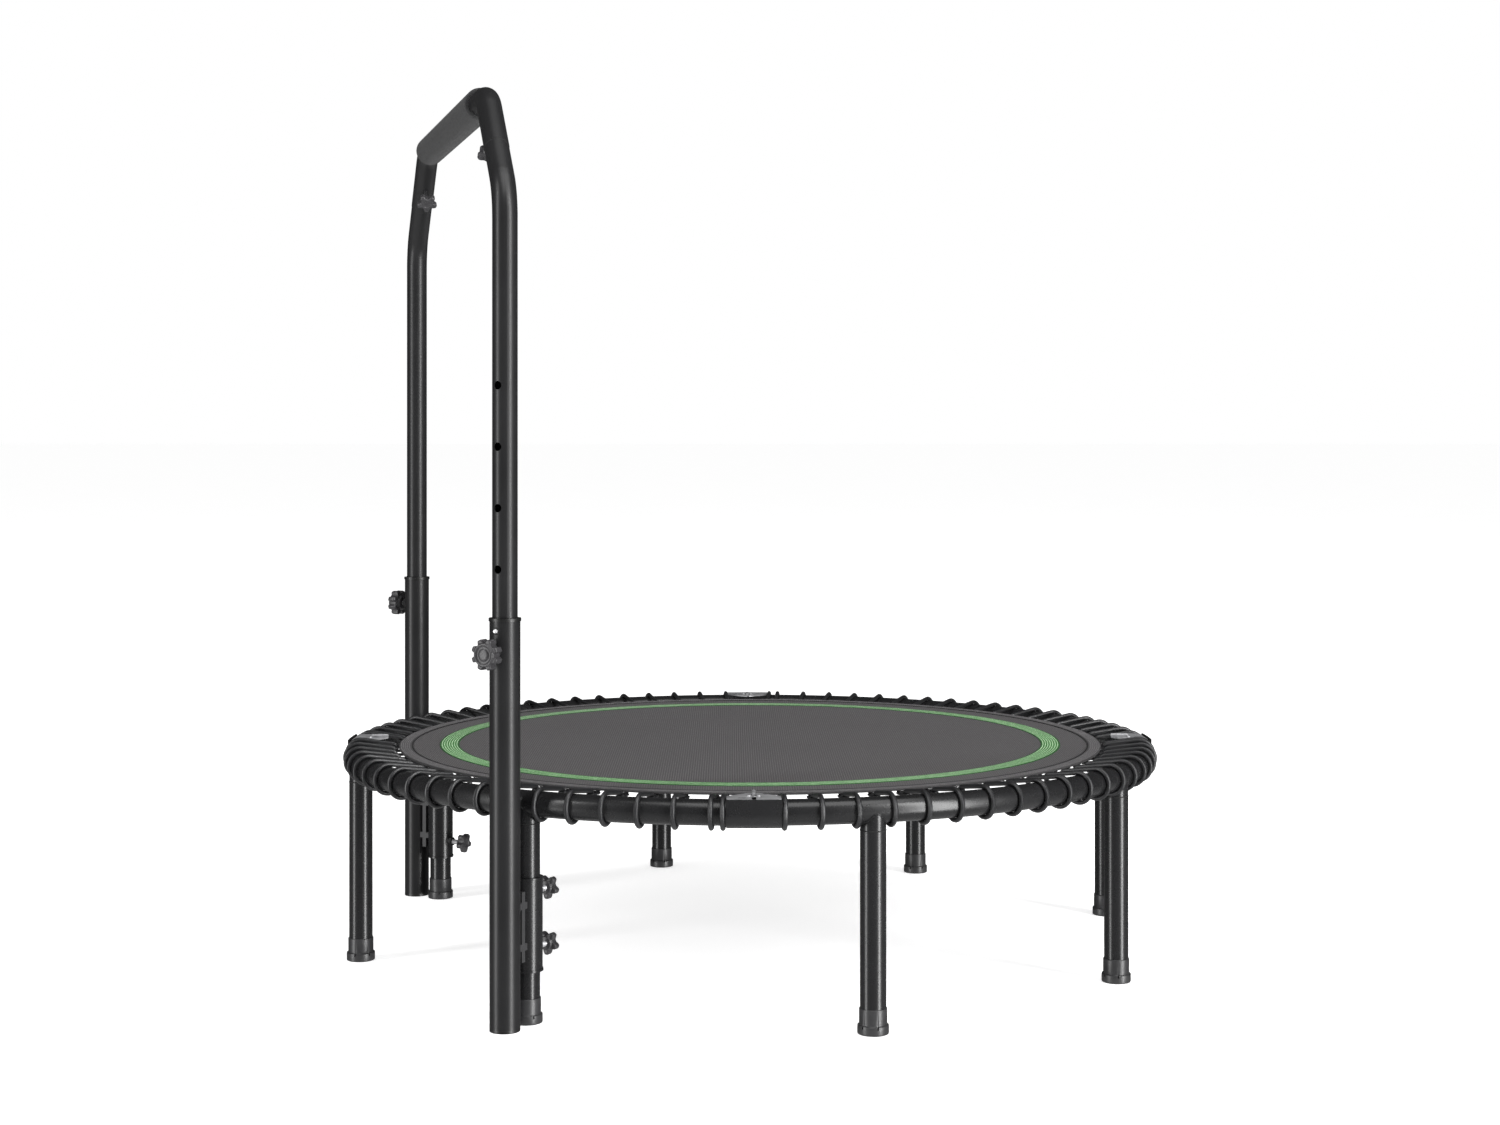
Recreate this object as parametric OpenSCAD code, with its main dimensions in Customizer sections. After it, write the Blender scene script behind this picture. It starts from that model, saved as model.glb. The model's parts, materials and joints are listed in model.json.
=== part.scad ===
// Folding mini trampoline with a U-shaped safety handle.
// Origin: on the floor under the middle of the ring. +Z is up, -Y is the front.
// Angles go round the ring from the front (-Y) towards +X.

/* [Ring] */
// Outside diameter of the ring
ring_od = 1220; // [1160:5:1280]
// Diameter of the ring's steel tube
ring_tube = 34; // [32:0.5:35]
// Height of the top of the ring above the floor
ring_top = 304; // [290:1:320]
// Wall of every steel tube
wall = 1.5; // [1.2:0.1:2]

/* [Hinges] */
// Length of each hinge bracket along the ring
bracket_len = 70; // [60:1:70]
// Outside width of a hinge bracket
bracket_od = 40; // [39.8:0.1:41]
// Height of the fold axis above the floor
fold_z = 308.2; // [308:0.1:310]

/* [Legs] */
// Angle of the first leg
leg_first = 15; // [12:0.5:18]
// Length of the stub that is welded under the ring
stub_drop = 25.6; // [24:0.2:30]
// Height of a rubber foot
foot_h = 33; // [28:1:36]
// Diameter of a foot's rim
foot_od = 41; // [39:0.5:44]

/* [Mat] */
// Diameter of the bed
mat_od = 1067; // [1050:1:1070]
// Height of the bed's upper face
mat_top = 302.2; // [300:0.2:303]
// Outside diameter of the green band
band_od = 945.2; // [900:1:960]
// Width of the green band
band_w = 28.9; // [20:0.1:36]
// Width of the sewn hem
hem_w = 19.5; // [15:0.5:24]

/* [Bungees] */
// Diameter of the elastic cord
cord_d = 6.4; // [5:0.1:6.8]
// Angle between neighbouring cords
cord_pitch = 4.5; // [4.5:0.1:5]
// Radius at which the cords' rings sit
ring_bar_r = 545; // [543:0.5:548]

/* [Handle] */
// Distance of the pole from the middle of the ring
pole_r = 642.5; // [640:0.5:645]
// Outside diameter of the lower pole
lower_od = 40; // [40:0.1:40.4]
// Height of the lower pole
lower_top = 529; // [520:1:540]
// Outside diameter of the upper pole
upper_od = 33; // [32:0.1:33]
// Height of the middle of the top bar
bar_z = 1226; // [1180:1:1260]
// Outside diameter of the top bar's tube
bar_od = 34; // [33.6:0.1:34]
// Spacing of the height holes
hole_pitch = 79; // [70:1:85]
// Diameter of the foam grip
grip_od = 45; // [38:1:50]

/* [Knobs] */
// Diameter of the two height knobs
height_knob_d = 41; // [36:1:46]
// Diameter of the leg clamps' knobs
clamp_knob_d = 32; // [28:1:36]
// Diameter of the top bar's knobs
bar_knob_d = 33; // [28:1:36]

/* [Hidden] */
$fn = 64;

ring_r = (ring_od - ring_tube) / 2;       // radius of the tube's centre line
tube_r = ring_tube / 2;
ring_z = ring_top - tube_r;               // height of the tube's centre line
end_gap = 0.5;                            // from a hinge's middle to the end of each tube
trough_gap = 0.9;                         // round the tube that lifts out of its bracket
lip_w = 2.6;                              // the bracket's outer wall, which stands a little above the tube
lip_h = 2;
eps = 1;                                  // how far a cutter runs past what it cuts
swell = 0.03;                             // a bend is this much fatter than the straights it joins
tuck = 0.4;                               // how far a straight runs into a bend

// Hinge leaves and their pins, with the radii measured from the middle of the ring
leaf_bottom = ring_top + 0.2;
leaf_t = 2;
leaf_front = ring_r + 13;
leaf_back = ring_r - 12;
leaf_tip = ring_r - 37;
knuckle_r = 2.5;
knuckle_w = 8;
knuckle_gap = 0.3;
hinge_pin_r = 1.3;
running = 0.05;                           // radial clearance of a pin in its knuckle
hinge_pin_out = 0.5;                      // how far a pin stands out of its knuckles at each end
hinge_pin_len = 3 * knuckle_w + 2 * knuckle_gap + 2 * hinge_pin_out;
leaf_edge = 3;                            // from the fold line to a leaf's straight edge
leaf_slope = [7, 3];                      // the leaf's pointed end is cut back by this much at its side
rivet_r = 3.2;
rivet_h = 1.5;
rivet_chamfer = 1;

// Legs
seam_z = ring_z - stub_drop;              // where the leg screws on to its stub
stub_cope = 5;                            // from the top of the stub to the ring tube's axis
stud_r = 4.9;
stud_len = 25;
leg_plug = 12;
foot_floor = 4;                           // rubber under the end of the leg
foot_rim_h = 12;
foot_collar_r = 18.25;

// Mat, in layers from the underside up
bed_t = 2;
web_t = 0.6;
mat_gap = 0.25;                           // from the fold line to the edge of each half
mat_r = mat_od / 2;

// Bungees: a loop round the ring tube (a) and round a ring's bar (b), in the radial plane
cord_r = cord_d / 2;
cords_per_quarter = 19;
cord_shift = -0.75;                       // the first cord clears the hinge bracket
cord_last = 86.2;                         // the last cord of a quarter is pushed aside by its bracket
cord_gap = 0.1;
bar_r = 1.8;
ring_bar_z = 295.5;
loop_a = tube_r + cord_r + cord_gap;
loop_b = bar_r + cord_r + cord_gap;
loop_d = norm([ring_r - ring_bar_r, ring_bar_z - ring_z]);
loop_dir = atan2(ring_bar_z - ring_z, ring_bar_r - ring_r);
loop_lean = acos((loop_a - loop_b) / loop_d);
ring_arm = [2.2, 3.2];                    // width and height of a mat ring's arm
ring_half_w = cord_r + 0.3 + ring_arm[0]; // half the outside width of a mat ring
ring_inner_r = mat_r - 11;
ring_tab = 4;                             // thickness of the webbing tab that holds a mat ring

// Handle, in a frame turned so that its plane faces -Y and x runs from the back to the front pole
pole_front = -30;
pole_back = -120;
handle_turn = (pole_front + pole_back) / 2;
pole_s = pole_r * cos((pole_front - pole_back) / 2);
upper_bottom = 400;
lower_bottom = 1;
bend_low = 80;
bend_high = 60;
bend = 45;                                // both bends of the handle turn by this angle
corner_x = 310;                           // where the slant would meet the top bar
corner_z = bar_z - (pole_s - corner_x);   // where the pole would meet the slant
low_straight = corner_z - bend_low * tan(bend / 2);
slant_low = [pole_s - bend_low * (1 - cos(bend)), low_straight + bend_low * sin(bend)];
bend_high_x = corner_x - bend_high * tan(bend / 2);
slant_high = [bend_high_x + bend_high * sin(bend), bar_z - bend_high * (1 - cos(bend))];
seam_x = 388;
seam = [seam_x, slant_low[1] + slant_low[0] - seam_x];
male_r = bar_od / 2 - wall - 0.2;
male_len = 55;
male_root = 6;                            // how far the male end reaches back into its own tube
bar_knob_x = 356;
bar_knob_z = slant_low[1] + slant_low[0] - bar_knob_x;
lower_bore = lower_od / 2 - wall;
collar_h = 4;
collar_r = 21;
bush_len = 6;
plug_len = 20;
cap_h = 22;
cap_rim = 4;
button_z = 517;
button_r = 2.95;
button_len = 5;                           // of the button's straight part
button_dome = 1.6;
height_hole_r = 5.5;
height_holes = 5;
height_knob_z = 488.5;
height_knob_out = 38;                     // from the pole's axis to the middle of the knob
height_knob_t = 20;
height_lobe = 0.13;                       // radius of a lobe, as a share of the knob's diameter
screw_r = 4;
tip_gap = 0.3;                            // between a screw's tip and the tube it presses on
nut_af = 13;
nut_h = 6;
bar_screw_r = 3;
bar_knob_out = 45;
grip_from = -284;
grip_to = 250;

// Leg clamps
clamp_r = 20.4;
clamp_low = 68;
clamp_high = 191;
clamp_lip_r = 21.4;
clamp_lip_h = 3;
clamp_knob_low = 95;
clamp_knob_high = 169;
clamp_knob_out = 47;
small_knob_t = 14;
small_lobe = 0.18;
bracket_w = 24;
bracket_t = 7;
bracket_low = 84;
bracket_high = 175.5;
spacer_h = 9;
spacer_zs = [103.5, 157.3];

// Turns children from the front to an angle round the ring: -Y becomes outward.
module at_angle(a) rotate([0, 0, a]) children();

// Stands children in the radial plane: x is the radius, y is the height.
module radial_plane(a) rotate([0, 0, a - 90]) rotate([90, 0, 0]) children();

// Points +Z of the children outward (or inward) at a radius and a height.
module outward(a, r, z) at_angle(a) translate([0, -r, z]) rotate([90, 0, 0]) children();
module inward(a, r, z) at_angle(a) translate([0, -r, z]) rotate([-90, 0, 0]) children();

// Turns children into the handle's plane.
module handle_plane() rotate([0, 0, handle_turn]) translate([0, -pole_s, 0]) children();

// A section swept along the ring from angle a to angle b.
module section_sweep(a, b)
    translate([0, 0, ring_z]) rotate([0, 0, a - 90])
        rotate_extrude(angle = b - a, $fn = 180) translate([ring_r, 0]) children();

module pipe(r, r_in, h)
    difference() {
        cylinder(r = r, h = h);
        translate([0, 0, -eps]) cylinder(r = r_in, h = h + 2 * eps);
    }

// One of the four arcs of the ring's tube; q counts from the front towards +X.
module ring_tube(q) {
    end_deg = asin(end_gap / ring_r);
    a = 90 * q + end_deg;
    b = 90 * q + 90 - end_deg;
    difference() {
        section_sweep(a, b) circle(r = tube_r);
        section_sweep(a - 1, b + 1) circle(r = tube_r - wall);
    }
}

module leg_stub(a) {
    difference() {
        at_angle(a) translate([0, -ring_r, seam_z]) cylinder(r = tube_r - 0.2, h = stub_drop - stub_cope);
        translate([0, 0, ring_z]) rotate_extrude($fn = 180) translate([ring_r, 0]) circle(r = tube_r);
    }
    at_angle(a) translate([0, -ring_r, seam_z - stud_len]) cylinder(r = stud_r, h = stud_len + eps);
}

module leg(a)
    at_angle(a) translate([0, -ring_r, foot_floor]) {
        len = seam_z - foot_floor;
        pipe(tube_r, tube_r - wall, len);
        translate([0, 0, len - leg_plug]) pipe(tube_r - wall / 2, stud_r + running, leg_plug);
    }

module foot(a)
    at_angle(a) translate([0, -ring_r, 0]) difference() {
        union() {
            cylinder(d = foot_od, h = foot_rim_h);
            cylinder(r = foot_collar_r, h = foot_h);
        }
        translate([0, 0, foot_floor]) cylinder(r = tube_r + running, h = foot_h);
    }

// Section of a hinge bracket's inside: a trough that is open at the top.
module trough(r) {
    circle(r = r);
    translate([-r, 0]) square([2 * r, bracket_od]);
}

// The bracket grips one tube; on the loose side (1 towards larger angles) a tube can lift out of it.
module hinge_bracket(a, loose = 0) {
    half = asin(bracket_len / 2 / ring_r);
    difference() {
        section_sweep(a - half, a + half) {
            circle(d = bracket_od);
            translate([-bracket_od / 2, 0]) square([bracket_od, tube_r]);
            translate([bracket_od / 2 - lip_w, tube_r - 1]) square([lip_w, lip_h + 1]);
        }
        section_sweep(a - half - 1, a + half + 1) trough(tube_r);
        if (loose != 0)
            section_sweep(a - (loose < 0 ? half + 1 : 0), a + (loose > 0 ? half + 1 : 0))
                trough(tube_r + trough_gap);
    }
}

// Knuckle k of three, as a stretch of radius.
function knuckle_from(k) = leaf_tip + k * (knuckle_w + knuckle_gap);

// One leaf of a hinge; side is 1 towards larger angles, and knuckles lists the ones it carries.
module hinge_leaf(a, side, knuckles)
    at_angle(a) difference() {
        union() {
            translate([0, 0, leaf_bottom]) linear_extrude(leaf_t) scale([side, 1]) polygon([
                [leaf_edge, -leaf_front], [bracket_len / 2, -leaf_front], [bracket_len / 2, -leaf_back],
                [leaf_edge + leaf_slope[0], -leaf_tip - leaf_slope[1]], [leaf_edge, -leaf_tip]]);
            for (k = knuckles) translate([0, -knuckle_from(k), 0]) {
                translate([side < 0 ? -leaf_edge - 1 : 0, -knuckle_w, leaf_bottom])
                    cube([leaf_edge + 1, knuckle_w, leaf_t]);
                translate([0, 0, fold_z]) rotate([90, 0, 0]) cylinder(r = knuckle_r, h = knuckle_w);
            }
        }
        translate([0, -leaf_tip + eps, fold_z]) rotate([90, 0, 0])
            cylinder(r = hinge_pin_r + running, h = hinge_pin_len + 2 * eps);
    }

module hinge_pin(a)
    at_angle(a) translate([0, -leaf_tip + hinge_pin_out, fold_z]) rotate([90, 0, 0])
        cylinder(r = hinge_pin_r, h = hinge_pin_len);

module hinge_rivet(a, side)
    at_angle(a) translate([side * (leaf_edge + rivet_r + 0.2), -leaf_back - 1, leaf_bottom + leaf_t])
        cylinder(r1 = rivet_r, r2 = rivet_r - rivet_chamfer, h = rivet_h);

// Half of a flat ring or disc of the mat; side is 1 for +X.
module mat_half(side, r, r_in, z, t)
    translate([side * mat_gap, 0, z]) rotate([0, 0, side > 0 ? -90 : 90])
        rotate_extrude(angle = 180, $fn = 180) translate([r_in, 0]) square([r - r_in, t]);

module mat_bed(side) mat_half(side, mat_r, 0, mat_top - bed_t, bed_t);

module mat_hem(side) {
    mat_half(side, mat_r, mat_r - hem_w, mat_top, web_t);
    mat_half(side, mat_r, mat_r - hem_w, mat_top - bed_t - web_t, web_t);
}

module green_band(side) mat_half(side, band_od / 2, band_od / 2 - band_w, mat_top, web_t);

// A steel ring under the hem: an outer bar for the cord, two arms and a bar in a webbing tab.
module mat_ring(a)
    radial_plane(a) {
        translate([ring_bar_r, ring_bar_z, -ring_half_w]) cylinder(r = bar_r, h = 2 * ring_half_w);
        for (z = [-ring_half_w, ring_half_w - ring_arm[0]])
            translate([ring_inner_r, ring_bar_z - ring_arm[1] / 2, z])
                cube([ring_bar_r - ring_inner_r, ring_arm[1], ring_arm[0]]);
        translate([ring_inner_r - ring_tab / 2, ring_bar_z - ring_arm[1] / 2, -ring_half_w])
            cube([ring_tab, mat_top - bed_t - web_t - ring_bar_z + ring_arm[1] / 2, 2 * ring_half_w]);
    }

// An elastic loop in its radial plane.
module bungee(a)
    radial_plane(a) {
        translate([ring_r, ring_z]) rotate([0, 0, loop_dir + loop_lean])
            rotate_extrude(angle = 360 - 2 * loop_lean) translate([loop_a, 0]) circle(r = cord_r + swell);
        translate([ring_bar_r, ring_bar_z]) rotate([0, 0, loop_dir - loop_lean])
            rotate_extrude(angle = 2 * loop_lean) translate([loop_b, 0]) circle(r = cord_r + swell);
        for (side = [-1, 1])
            translate([ring_r, ring_z]) rotate([0, 0, loop_dir + side * loop_lean])
                translate([loop_a, side * tuck]) rotate([side * 90, 0, 0])
                    cylinder(r = cord_r, h = loop_d * sin(loop_lean) + 2 * tuck);
    }

function cord_angles(q) = [
    for (k = [1 : cords_per_quarter]) 90 * q + cord_pitch * k + cord_shift,
    90 * q + cord_last];

// Lobed knob on a screw: from is where the screw's tip starts, out is the middle of the head.
module knob(d, lobes, t, out, from, r_screw, lobe_share) {
    lobe_r = d * lobe_share;
    dish = 1.6;                           // depth of the ring-shaped hollow in the face
    translate([0, 0, from]) cylinder(r = r_screw, h = out - t / 2 - from + eps);
    translate([0, 0, out - t / 2]) {
        cylinder(r1 = d * 0.27, r2 = d * 0.33, h = t * 0.3);
        translate([0, 0, t * 0.2]) difference() {
            linear_extrude(t * 0.8) {
                circle(r = d * 0.38);
                for (k = [0 : lobes - 1])
                    rotate(360 / lobes * (k + 0.5)) translate([d / 2 - lobe_r, 0]) circle(r = lobe_r);
            }
            translate([0, 0, t * 0.8 - dish]) pipe(d * 0.33, d * 0.17, dish + eps);
        }
    }
}

module nut(r, from) {
    translate([0, 0, from]) difference() {
        cylinder(d = nut_af / cos(30), h = nut_h, $fn = 6);
        translate([0, 0, -eps]) cylinder(r = r, h = nut_h + 2 * eps);
    }
}

module lower_pole(a) {
    difference() {
        union() {
            at_angle(a) translate([0, -pole_r, lower_bottom + cap_rim - 1])
                cylinder(d = lower_od, h = lower_top - lower_bottom - cap_rim + 1);
            outward(a, pole_r, height_knob_z) nut(screw_r + running, lower_od / 2 - 1);
        }
        at_angle(a) translate([0, -pole_r, 0]) cylinder(r = lower_bore, h = lower_top + eps);
        outward(a, pole_r, height_knob_z) cylinder(r = screw_r + running, h = lower_od);
        outward(a, pole_r, button_z) cylinder(r = button_r + running, h = lower_od);
    }
}

module pole_collar(a)
    at_angle(a) translate([0, -pole_r, lower_top]) {
        pipe(collar_r, upper_od / 2 + 0.1, collar_h);
        translate([0, 0, -bush_len]) pipe(lower_bore - running, upper_od / 2 + 0.1, bush_len + eps);
    }

module pole_end_cap(a)
    at_angle(a) translate([0, -pole_r, 0]) {
        cylinder(d = lower_od, h = cap_rim);
        cylinder(r = lower_bore - running, h = cap_h);
    }

module leg_clamp(a)
    difference() {
        union() {
            at_angle(a) translate([0, -ring_r, clamp_low]) {
                cylinder(r = clamp_r, h = clamp_high - clamp_low);
                for (z = [0, clamp_high - clamp_low - clamp_lip_h])
                    translate([0, 0, z]) cylinder(r = clamp_lip_r, h = clamp_lip_h);
            }
            for (z = [clamp_knob_low, clamp_knob_high])
                inward(a, ring_r, z) nut(screw_r + running, clamp_r - 1);
        }
        at_angle(a) translate([0, -ring_r, 0]) cylinder(r = tube_r + running, h = clamp_high + eps);
        for (z = [clamp_knob_low, clamp_knob_high])
            inward(a, ring_r, z) cylinder(r = screw_r + running, h = lower_od);
    }

// Plate and spacers that join a leg clamp to its pole.
module clamp_bracket(a)
    difference() {
        mid = (ring_r + clamp_r + pole_r - lower_od / 2) / 2;
        at_angle(a) {
            translate([-bracket_w / 2, -mid - bracket_t / 2, bracket_low])
                cube([bracket_w, bracket_t, bracket_high - bracket_low]);
            for (z = spacer_zs)
                translate([-bracket_w / 2, -pole_r + lower_od / 2 - 4, z - spacer_h / 2])
                    cube([bracket_w, pole_r - lower_od / 2 + 4 - ring_r - clamp_r + 4, spacer_h]);
        }
        at_angle(a) translate([0, -ring_r, 0]) cylinder(r = clamp_r, h = lower_top);
        at_angle(a) translate([0, -pole_r, 0]) cylinder(d = lower_od, h = lower_top);
    }

// The upper pole's outline in the handle's plane: straight, bend and slant.
module upper_pole_solid(r, tail) {
    translate([pole_s, 0, upper_bottom - tail])
        cylinder(r = r, h = low_straight - upper_bottom + tail + tuck);
    translate([pole_s - bend_low, 0, low_straight]) rotate([90, 0, 0])
        rotate_extrude(angle = bend, $fn = 96) translate([bend_low, 0]) circle(r = r + swell);
    translate([slant_low[0], 0, slant_low[1]]) rotate([0, -bend, 0]) translate([0, 0, -tuck])
        cylinder(r = r, h = norm(seam - slant_low) + tuck - 3 * tail);
}

// side is 1 for the front pole and -1 for the back pole.
module upper_pole(side)
    handle_plane() scale([side, 1, 1]) difference() {
        union() {
            upper_pole_solid(upper_od / 2, 0);
            translate([seam[0], 0, seam[1]]) rotate([0, -bend, 0])
                translate([0, 0, -male_root]) cylinder(r = male_r, h = male_len + male_root);
        }
        upper_pole_solid(upper_od / 2 - wall, eps);
        translate([seam[0], 0, seam[1]]) rotate([0, -bend, 0])
            translate([0, 0, -male_root - 2 * eps])
                cylinder(r = male_r - wall, h = male_len + male_root + 3 * eps);
        // the holes face away from the middle of the ring
        for (k = [0 : height_holes - 1])
            translate([pole_s, 0, button_z + hole_pitch * k]) rotate([90, 0, 45])
                cylinder(r = height_hole_r, h = upper_od);
    }

module pole_plug(a)
    at_angle(a) translate([0, -pole_r, upper_bottom - 6]) {
        cylinder(r = lower_bore - 0.1, h = 6);
        cylinder(r = upper_od / 2 - wall - running, h = plug_len);
    }

// The top bar's outline, from seam to seam.
module top_bar_solid(r, tail) {
    translate([-bend_high_x - tuck, 0, bar_z]) rotate([0, 90, 0])
        cylinder(r = r, h = 2 * (bend_high_x + tuck));
    for (side = [-1, 1]) scale([side, 1, 1]) {
        translate([bend_high_x, 0, bar_z - bend_high]) rotate([90, 0, 0]) rotate([0, 0, 90 - bend])
            rotate_extrude(angle = bend, $fn = 96) translate([bend_high, 0]) circle(r = r + swell);
        translate([slant_high[0], 0, slant_high[1]]) rotate([0, 180 - bend, 0]) translate([0, 0, -tuck])
            cylinder(r = r, h = norm(slant_high - seam) + tail + tuck);
    }
}

module top_bar()
    color("#2b2b2d") handle_plane() difference() {
        top_bar_solid(bar_od / 2, 0);
        top_bar_solid(bar_od / 2 - wall, eps);
        for (side = [-1, 1]) scale([side, 1, 1])
            translate([bar_knob_x, 0, bar_knob_z]) rotate([0, -180 + bend, 0])
                cylinder(r = bar_screw_r + running, h = bar_od);
    }

module foam_grip()
    color("#1d1d1f") handle_plane() translate([grip_from, 0, bar_z]) rotate([0, 90, 0])
        pipe(grip_od / 2, bar_od / 2 + running, grip_to - grip_from);

module height_knob(a)
    color("#3a3a3c") outward(a, pole_r, height_knob_z)
        knob(height_knob_d, 8, height_knob_t, height_knob_out, upper_od / 2 + tip_gap, screw_r, height_lobe);

module clamp_knob(a, z)
    color("#3a3a3c") inward(a, ring_r, z)
        knob(clamp_knob_d, 5, small_knob_t, clamp_knob_out, tube_r + tip_gap, screw_r, small_lobe);

module bar_knob(side)
    color("#3a3a3c") handle_plane() scale([side, 1, 1])
        translate([bar_knob_x, 0, bar_knob_z]) rotate([0, -180 + bend, 0])
            knob(bar_knob_d, 5, small_knob_t, bar_knob_out, male_r + tip_gap, bar_screw_r, small_lobe);

module snap_button(a)
    color("#c9cacc") outward(a, pole_r, button_z) {
        from = upper_od / 2 + tip_gap;
        translate([0, 0, from]) cylinder(r = button_r, h = button_len);
        translate([0, 0, from + button_len]) cylinder(r1 = button_r, r2 = button_r / 2, h = button_dome);
    }

steel = "#333335";
module ring_tube_front_right() color(steel) ring_tube(0);
module ring_tube_back_right() color(steel) ring_tube(1);
module ring_tube_back_left() color(steel) ring_tube(2);
module ring_tube_front_left() color(steel) ring_tube(3);

// Angles of the legs in the right (side 1) and the left (side -1) half
function leg_angles(side) = [for (k = [0 : 3]) leg_first + 45 * k + (side > 0 ? 0 : 180)];
module leg_stubs_right() color(steel) for (a = leg_angles(1)) leg_stub(a);
module leg_stubs_left() color(steel) for (a = leg_angles(-1)) leg_stub(a);
module leg_front_right() color(steel) leg(leg_angles(1)[0]);
module leg_right_front() color(steel) leg(leg_angles(1)[1]);
module leg_right_back() color(steel) leg(leg_angles(1)[2]);
module leg_back_right() color(steel) leg(leg_angles(1)[3]);
module leg_back_left() color(steel) leg(leg_angles(-1)[0]);
module leg_left_back() color(steel) leg(leg_angles(-1)[1]);
module leg_left_front() color(steel) leg(leg_angles(-1)[2]);
module leg_front_left() color(steel) leg(leg_angles(-1)[3]);
module feet_right() color("#2f2f31") for (a = leg_angles(1)) foot(a);
module feet_left() color("#2f2f31") for (a = leg_angles(-1)) foot(a);

// The front and back brackets grip the left half's tubes, and the right half's lift out of them.
module hinge_bracket_front() color("#2a2a2c") hinge_bracket(0, 1);
module hinge_bracket_right() color("#2a2a2c") hinge_bracket(90);
module hinge_bracket_back() color("#2a2a2c") hinge_bracket(180, -1);
module hinge_bracket_left() color("#2a2a2c") hinge_bracket(270);
module hinge_leaves_right() color("silver") {
    hinge_leaf(0, 1, [1]);
    hinge_leaf(90, -1, [0, 2]);
    hinge_leaf(90, 1, [1]);
    hinge_leaf(180, -1, [1]);
}
module hinge_leaves_left() color("silver") {
    hinge_leaf(180, 1, [0, 2]);
    hinge_leaf(270, -1, [0, 2]);
    hinge_leaf(270, 1, [1]);
    hinge_leaf(0, -1, [0, 2]);
}
module hinge_pins_right() color("lightgray") {
    hinge_pin(90);
    hinge_rivet(0, 1);
    hinge_rivet(90, -1);
    hinge_rivet(90, 1);
    hinge_rivet(180, -1);
}
module hinge_pins_left() color("lightgray") {
    for (a = [0, 180, 270]) hinge_pin(a);
    hinge_rivet(0, -1);
    hinge_rivet(180, 1);
    hinge_rivet(270, -1);
    hinge_rivet(270, 1);
}

module mat_bed_right() color("#5a5658") mat_bed(1);
module mat_bed_left() color("#5a5658") mat_bed(-1);
module mat_hem_right() color("#39383a") mat_hem(1);
module mat_hem_left() color("#39383a") mat_hem(-1);
module green_band_right() color("#3f9a3a") green_band(1);
module green_band_left() color("#3f9a3a") green_band(-1);
module mat_rings_right() color("#1b1b1c") for (q = [0, 1]) for (a = cord_angles(q)) mat_ring(a);
module mat_rings_left() color("#1b1b1c") for (q = [2, 3]) for (a = cord_angles(q)) mat_ring(a);
module bungees_front_right() color("#19191a") for (a = cord_angles(0)) bungee(a);
module bungees_back_right() color("#19191a") for (a = cord_angles(1)) bungee(a);
module bungees_back_left() color("#19191a") for (a = cord_angles(2)) bungee(a);
module bungees_front_left() color("#19191a") for (a = cord_angles(3)) bungee(a);

module lower_pole_front() color(steel) lower_pole(pole_front);
module lower_pole_back() color(steel) lower_pole(pole_back);
module pole_collars() color("#1e1e20") for (a = [pole_front, pole_back]) pole_collar(a);
module pole_end_caps() color("#1e1e20") for (a = [pole_front, pole_back]) pole_end_cap(a);
module leg_clamp_front() color(steel) leg_clamp(pole_front);
module leg_clamp_back() color(steel) leg_clamp(pole_back);
module clamp_bracket_front() color(steel) clamp_bracket(pole_front);
module clamp_bracket_back() color(steel) clamp_bracket(pole_back);
module upper_pole_front() color("#2b2b2d") upper_pole(1);
module upper_pole_back() color("#2b2b2d") upper_pole(-1);
module pole_plugs() color("#1e1e20") for (a = [pole_front, pole_back]) pole_plug(a);
module height_knob_front() height_knob(pole_front);
module height_knob_back() height_knob(pole_back);
module clamp_knob_front_upper() clamp_knob(pole_front, clamp_knob_high);
module clamp_knob_front_lower() clamp_knob(pole_front, clamp_knob_low);
module clamp_knob_back_upper() clamp_knob(pole_back, clamp_knob_high);
module clamp_knob_back_lower() clamp_knob(pole_back, clamp_knob_low);
module bar_knob_front() bar_knob(1);
module bar_knob_back() bar_knob(-1);
module snap_button_front() snap_button(pole_front);
module snap_button_back() snap_button(pole_back);

ring_tube_front_right();
ring_tube_back_right();
ring_tube_back_left();
ring_tube_front_left();
leg_stubs_right();
leg_stubs_left();
leg_front_right();
leg_right_front();
leg_right_back();
leg_back_right();
leg_back_left();
leg_left_back();
leg_left_front();
leg_front_left();
feet_right();
feet_left();
hinge_bracket_front();
hinge_bracket_right();
hinge_bracket_back();
hinge_bracket_left();
hinge_leaves_right();
hinge_leaves_left();
hinge_pins_right();
hinge_pins_left();
mat_bed_right();
mat_bed_left();
mat_hem_right();
mat_hem_left();
green_band_right();
green_band_left();
mat_rings_right();
mat_rings_left();
bungees_front_right();
bungees_back_right();
bungees_back_left();
bungees_front_left();
lower_pole_front();
lower_pole_back();
pole_collars();
pole_end_caps();
leg_clamp_front();
leg_clamp_back();
clamp_bracket_front();
clamp_bracket_back();
upper_pole_front();
upper_pole_back();
pole_plugs();
top_bar();
foam_grip();
height_knob_front();
height_knob_back();
clamp_knob_front_upper();
clamp_knob_front_lower();
clamp_knob_back_upper();
clamp_knob_back_lower();
bar_knob_front();
bar_knob_back();
snap_button_front();
snap_button_back();
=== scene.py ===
"""Looks of the folding mini trampoline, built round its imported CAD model. Lengths are in metres."""

import json
import math

import bpy
import numpy as np
from mathutils import Matrix, Vector


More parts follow.
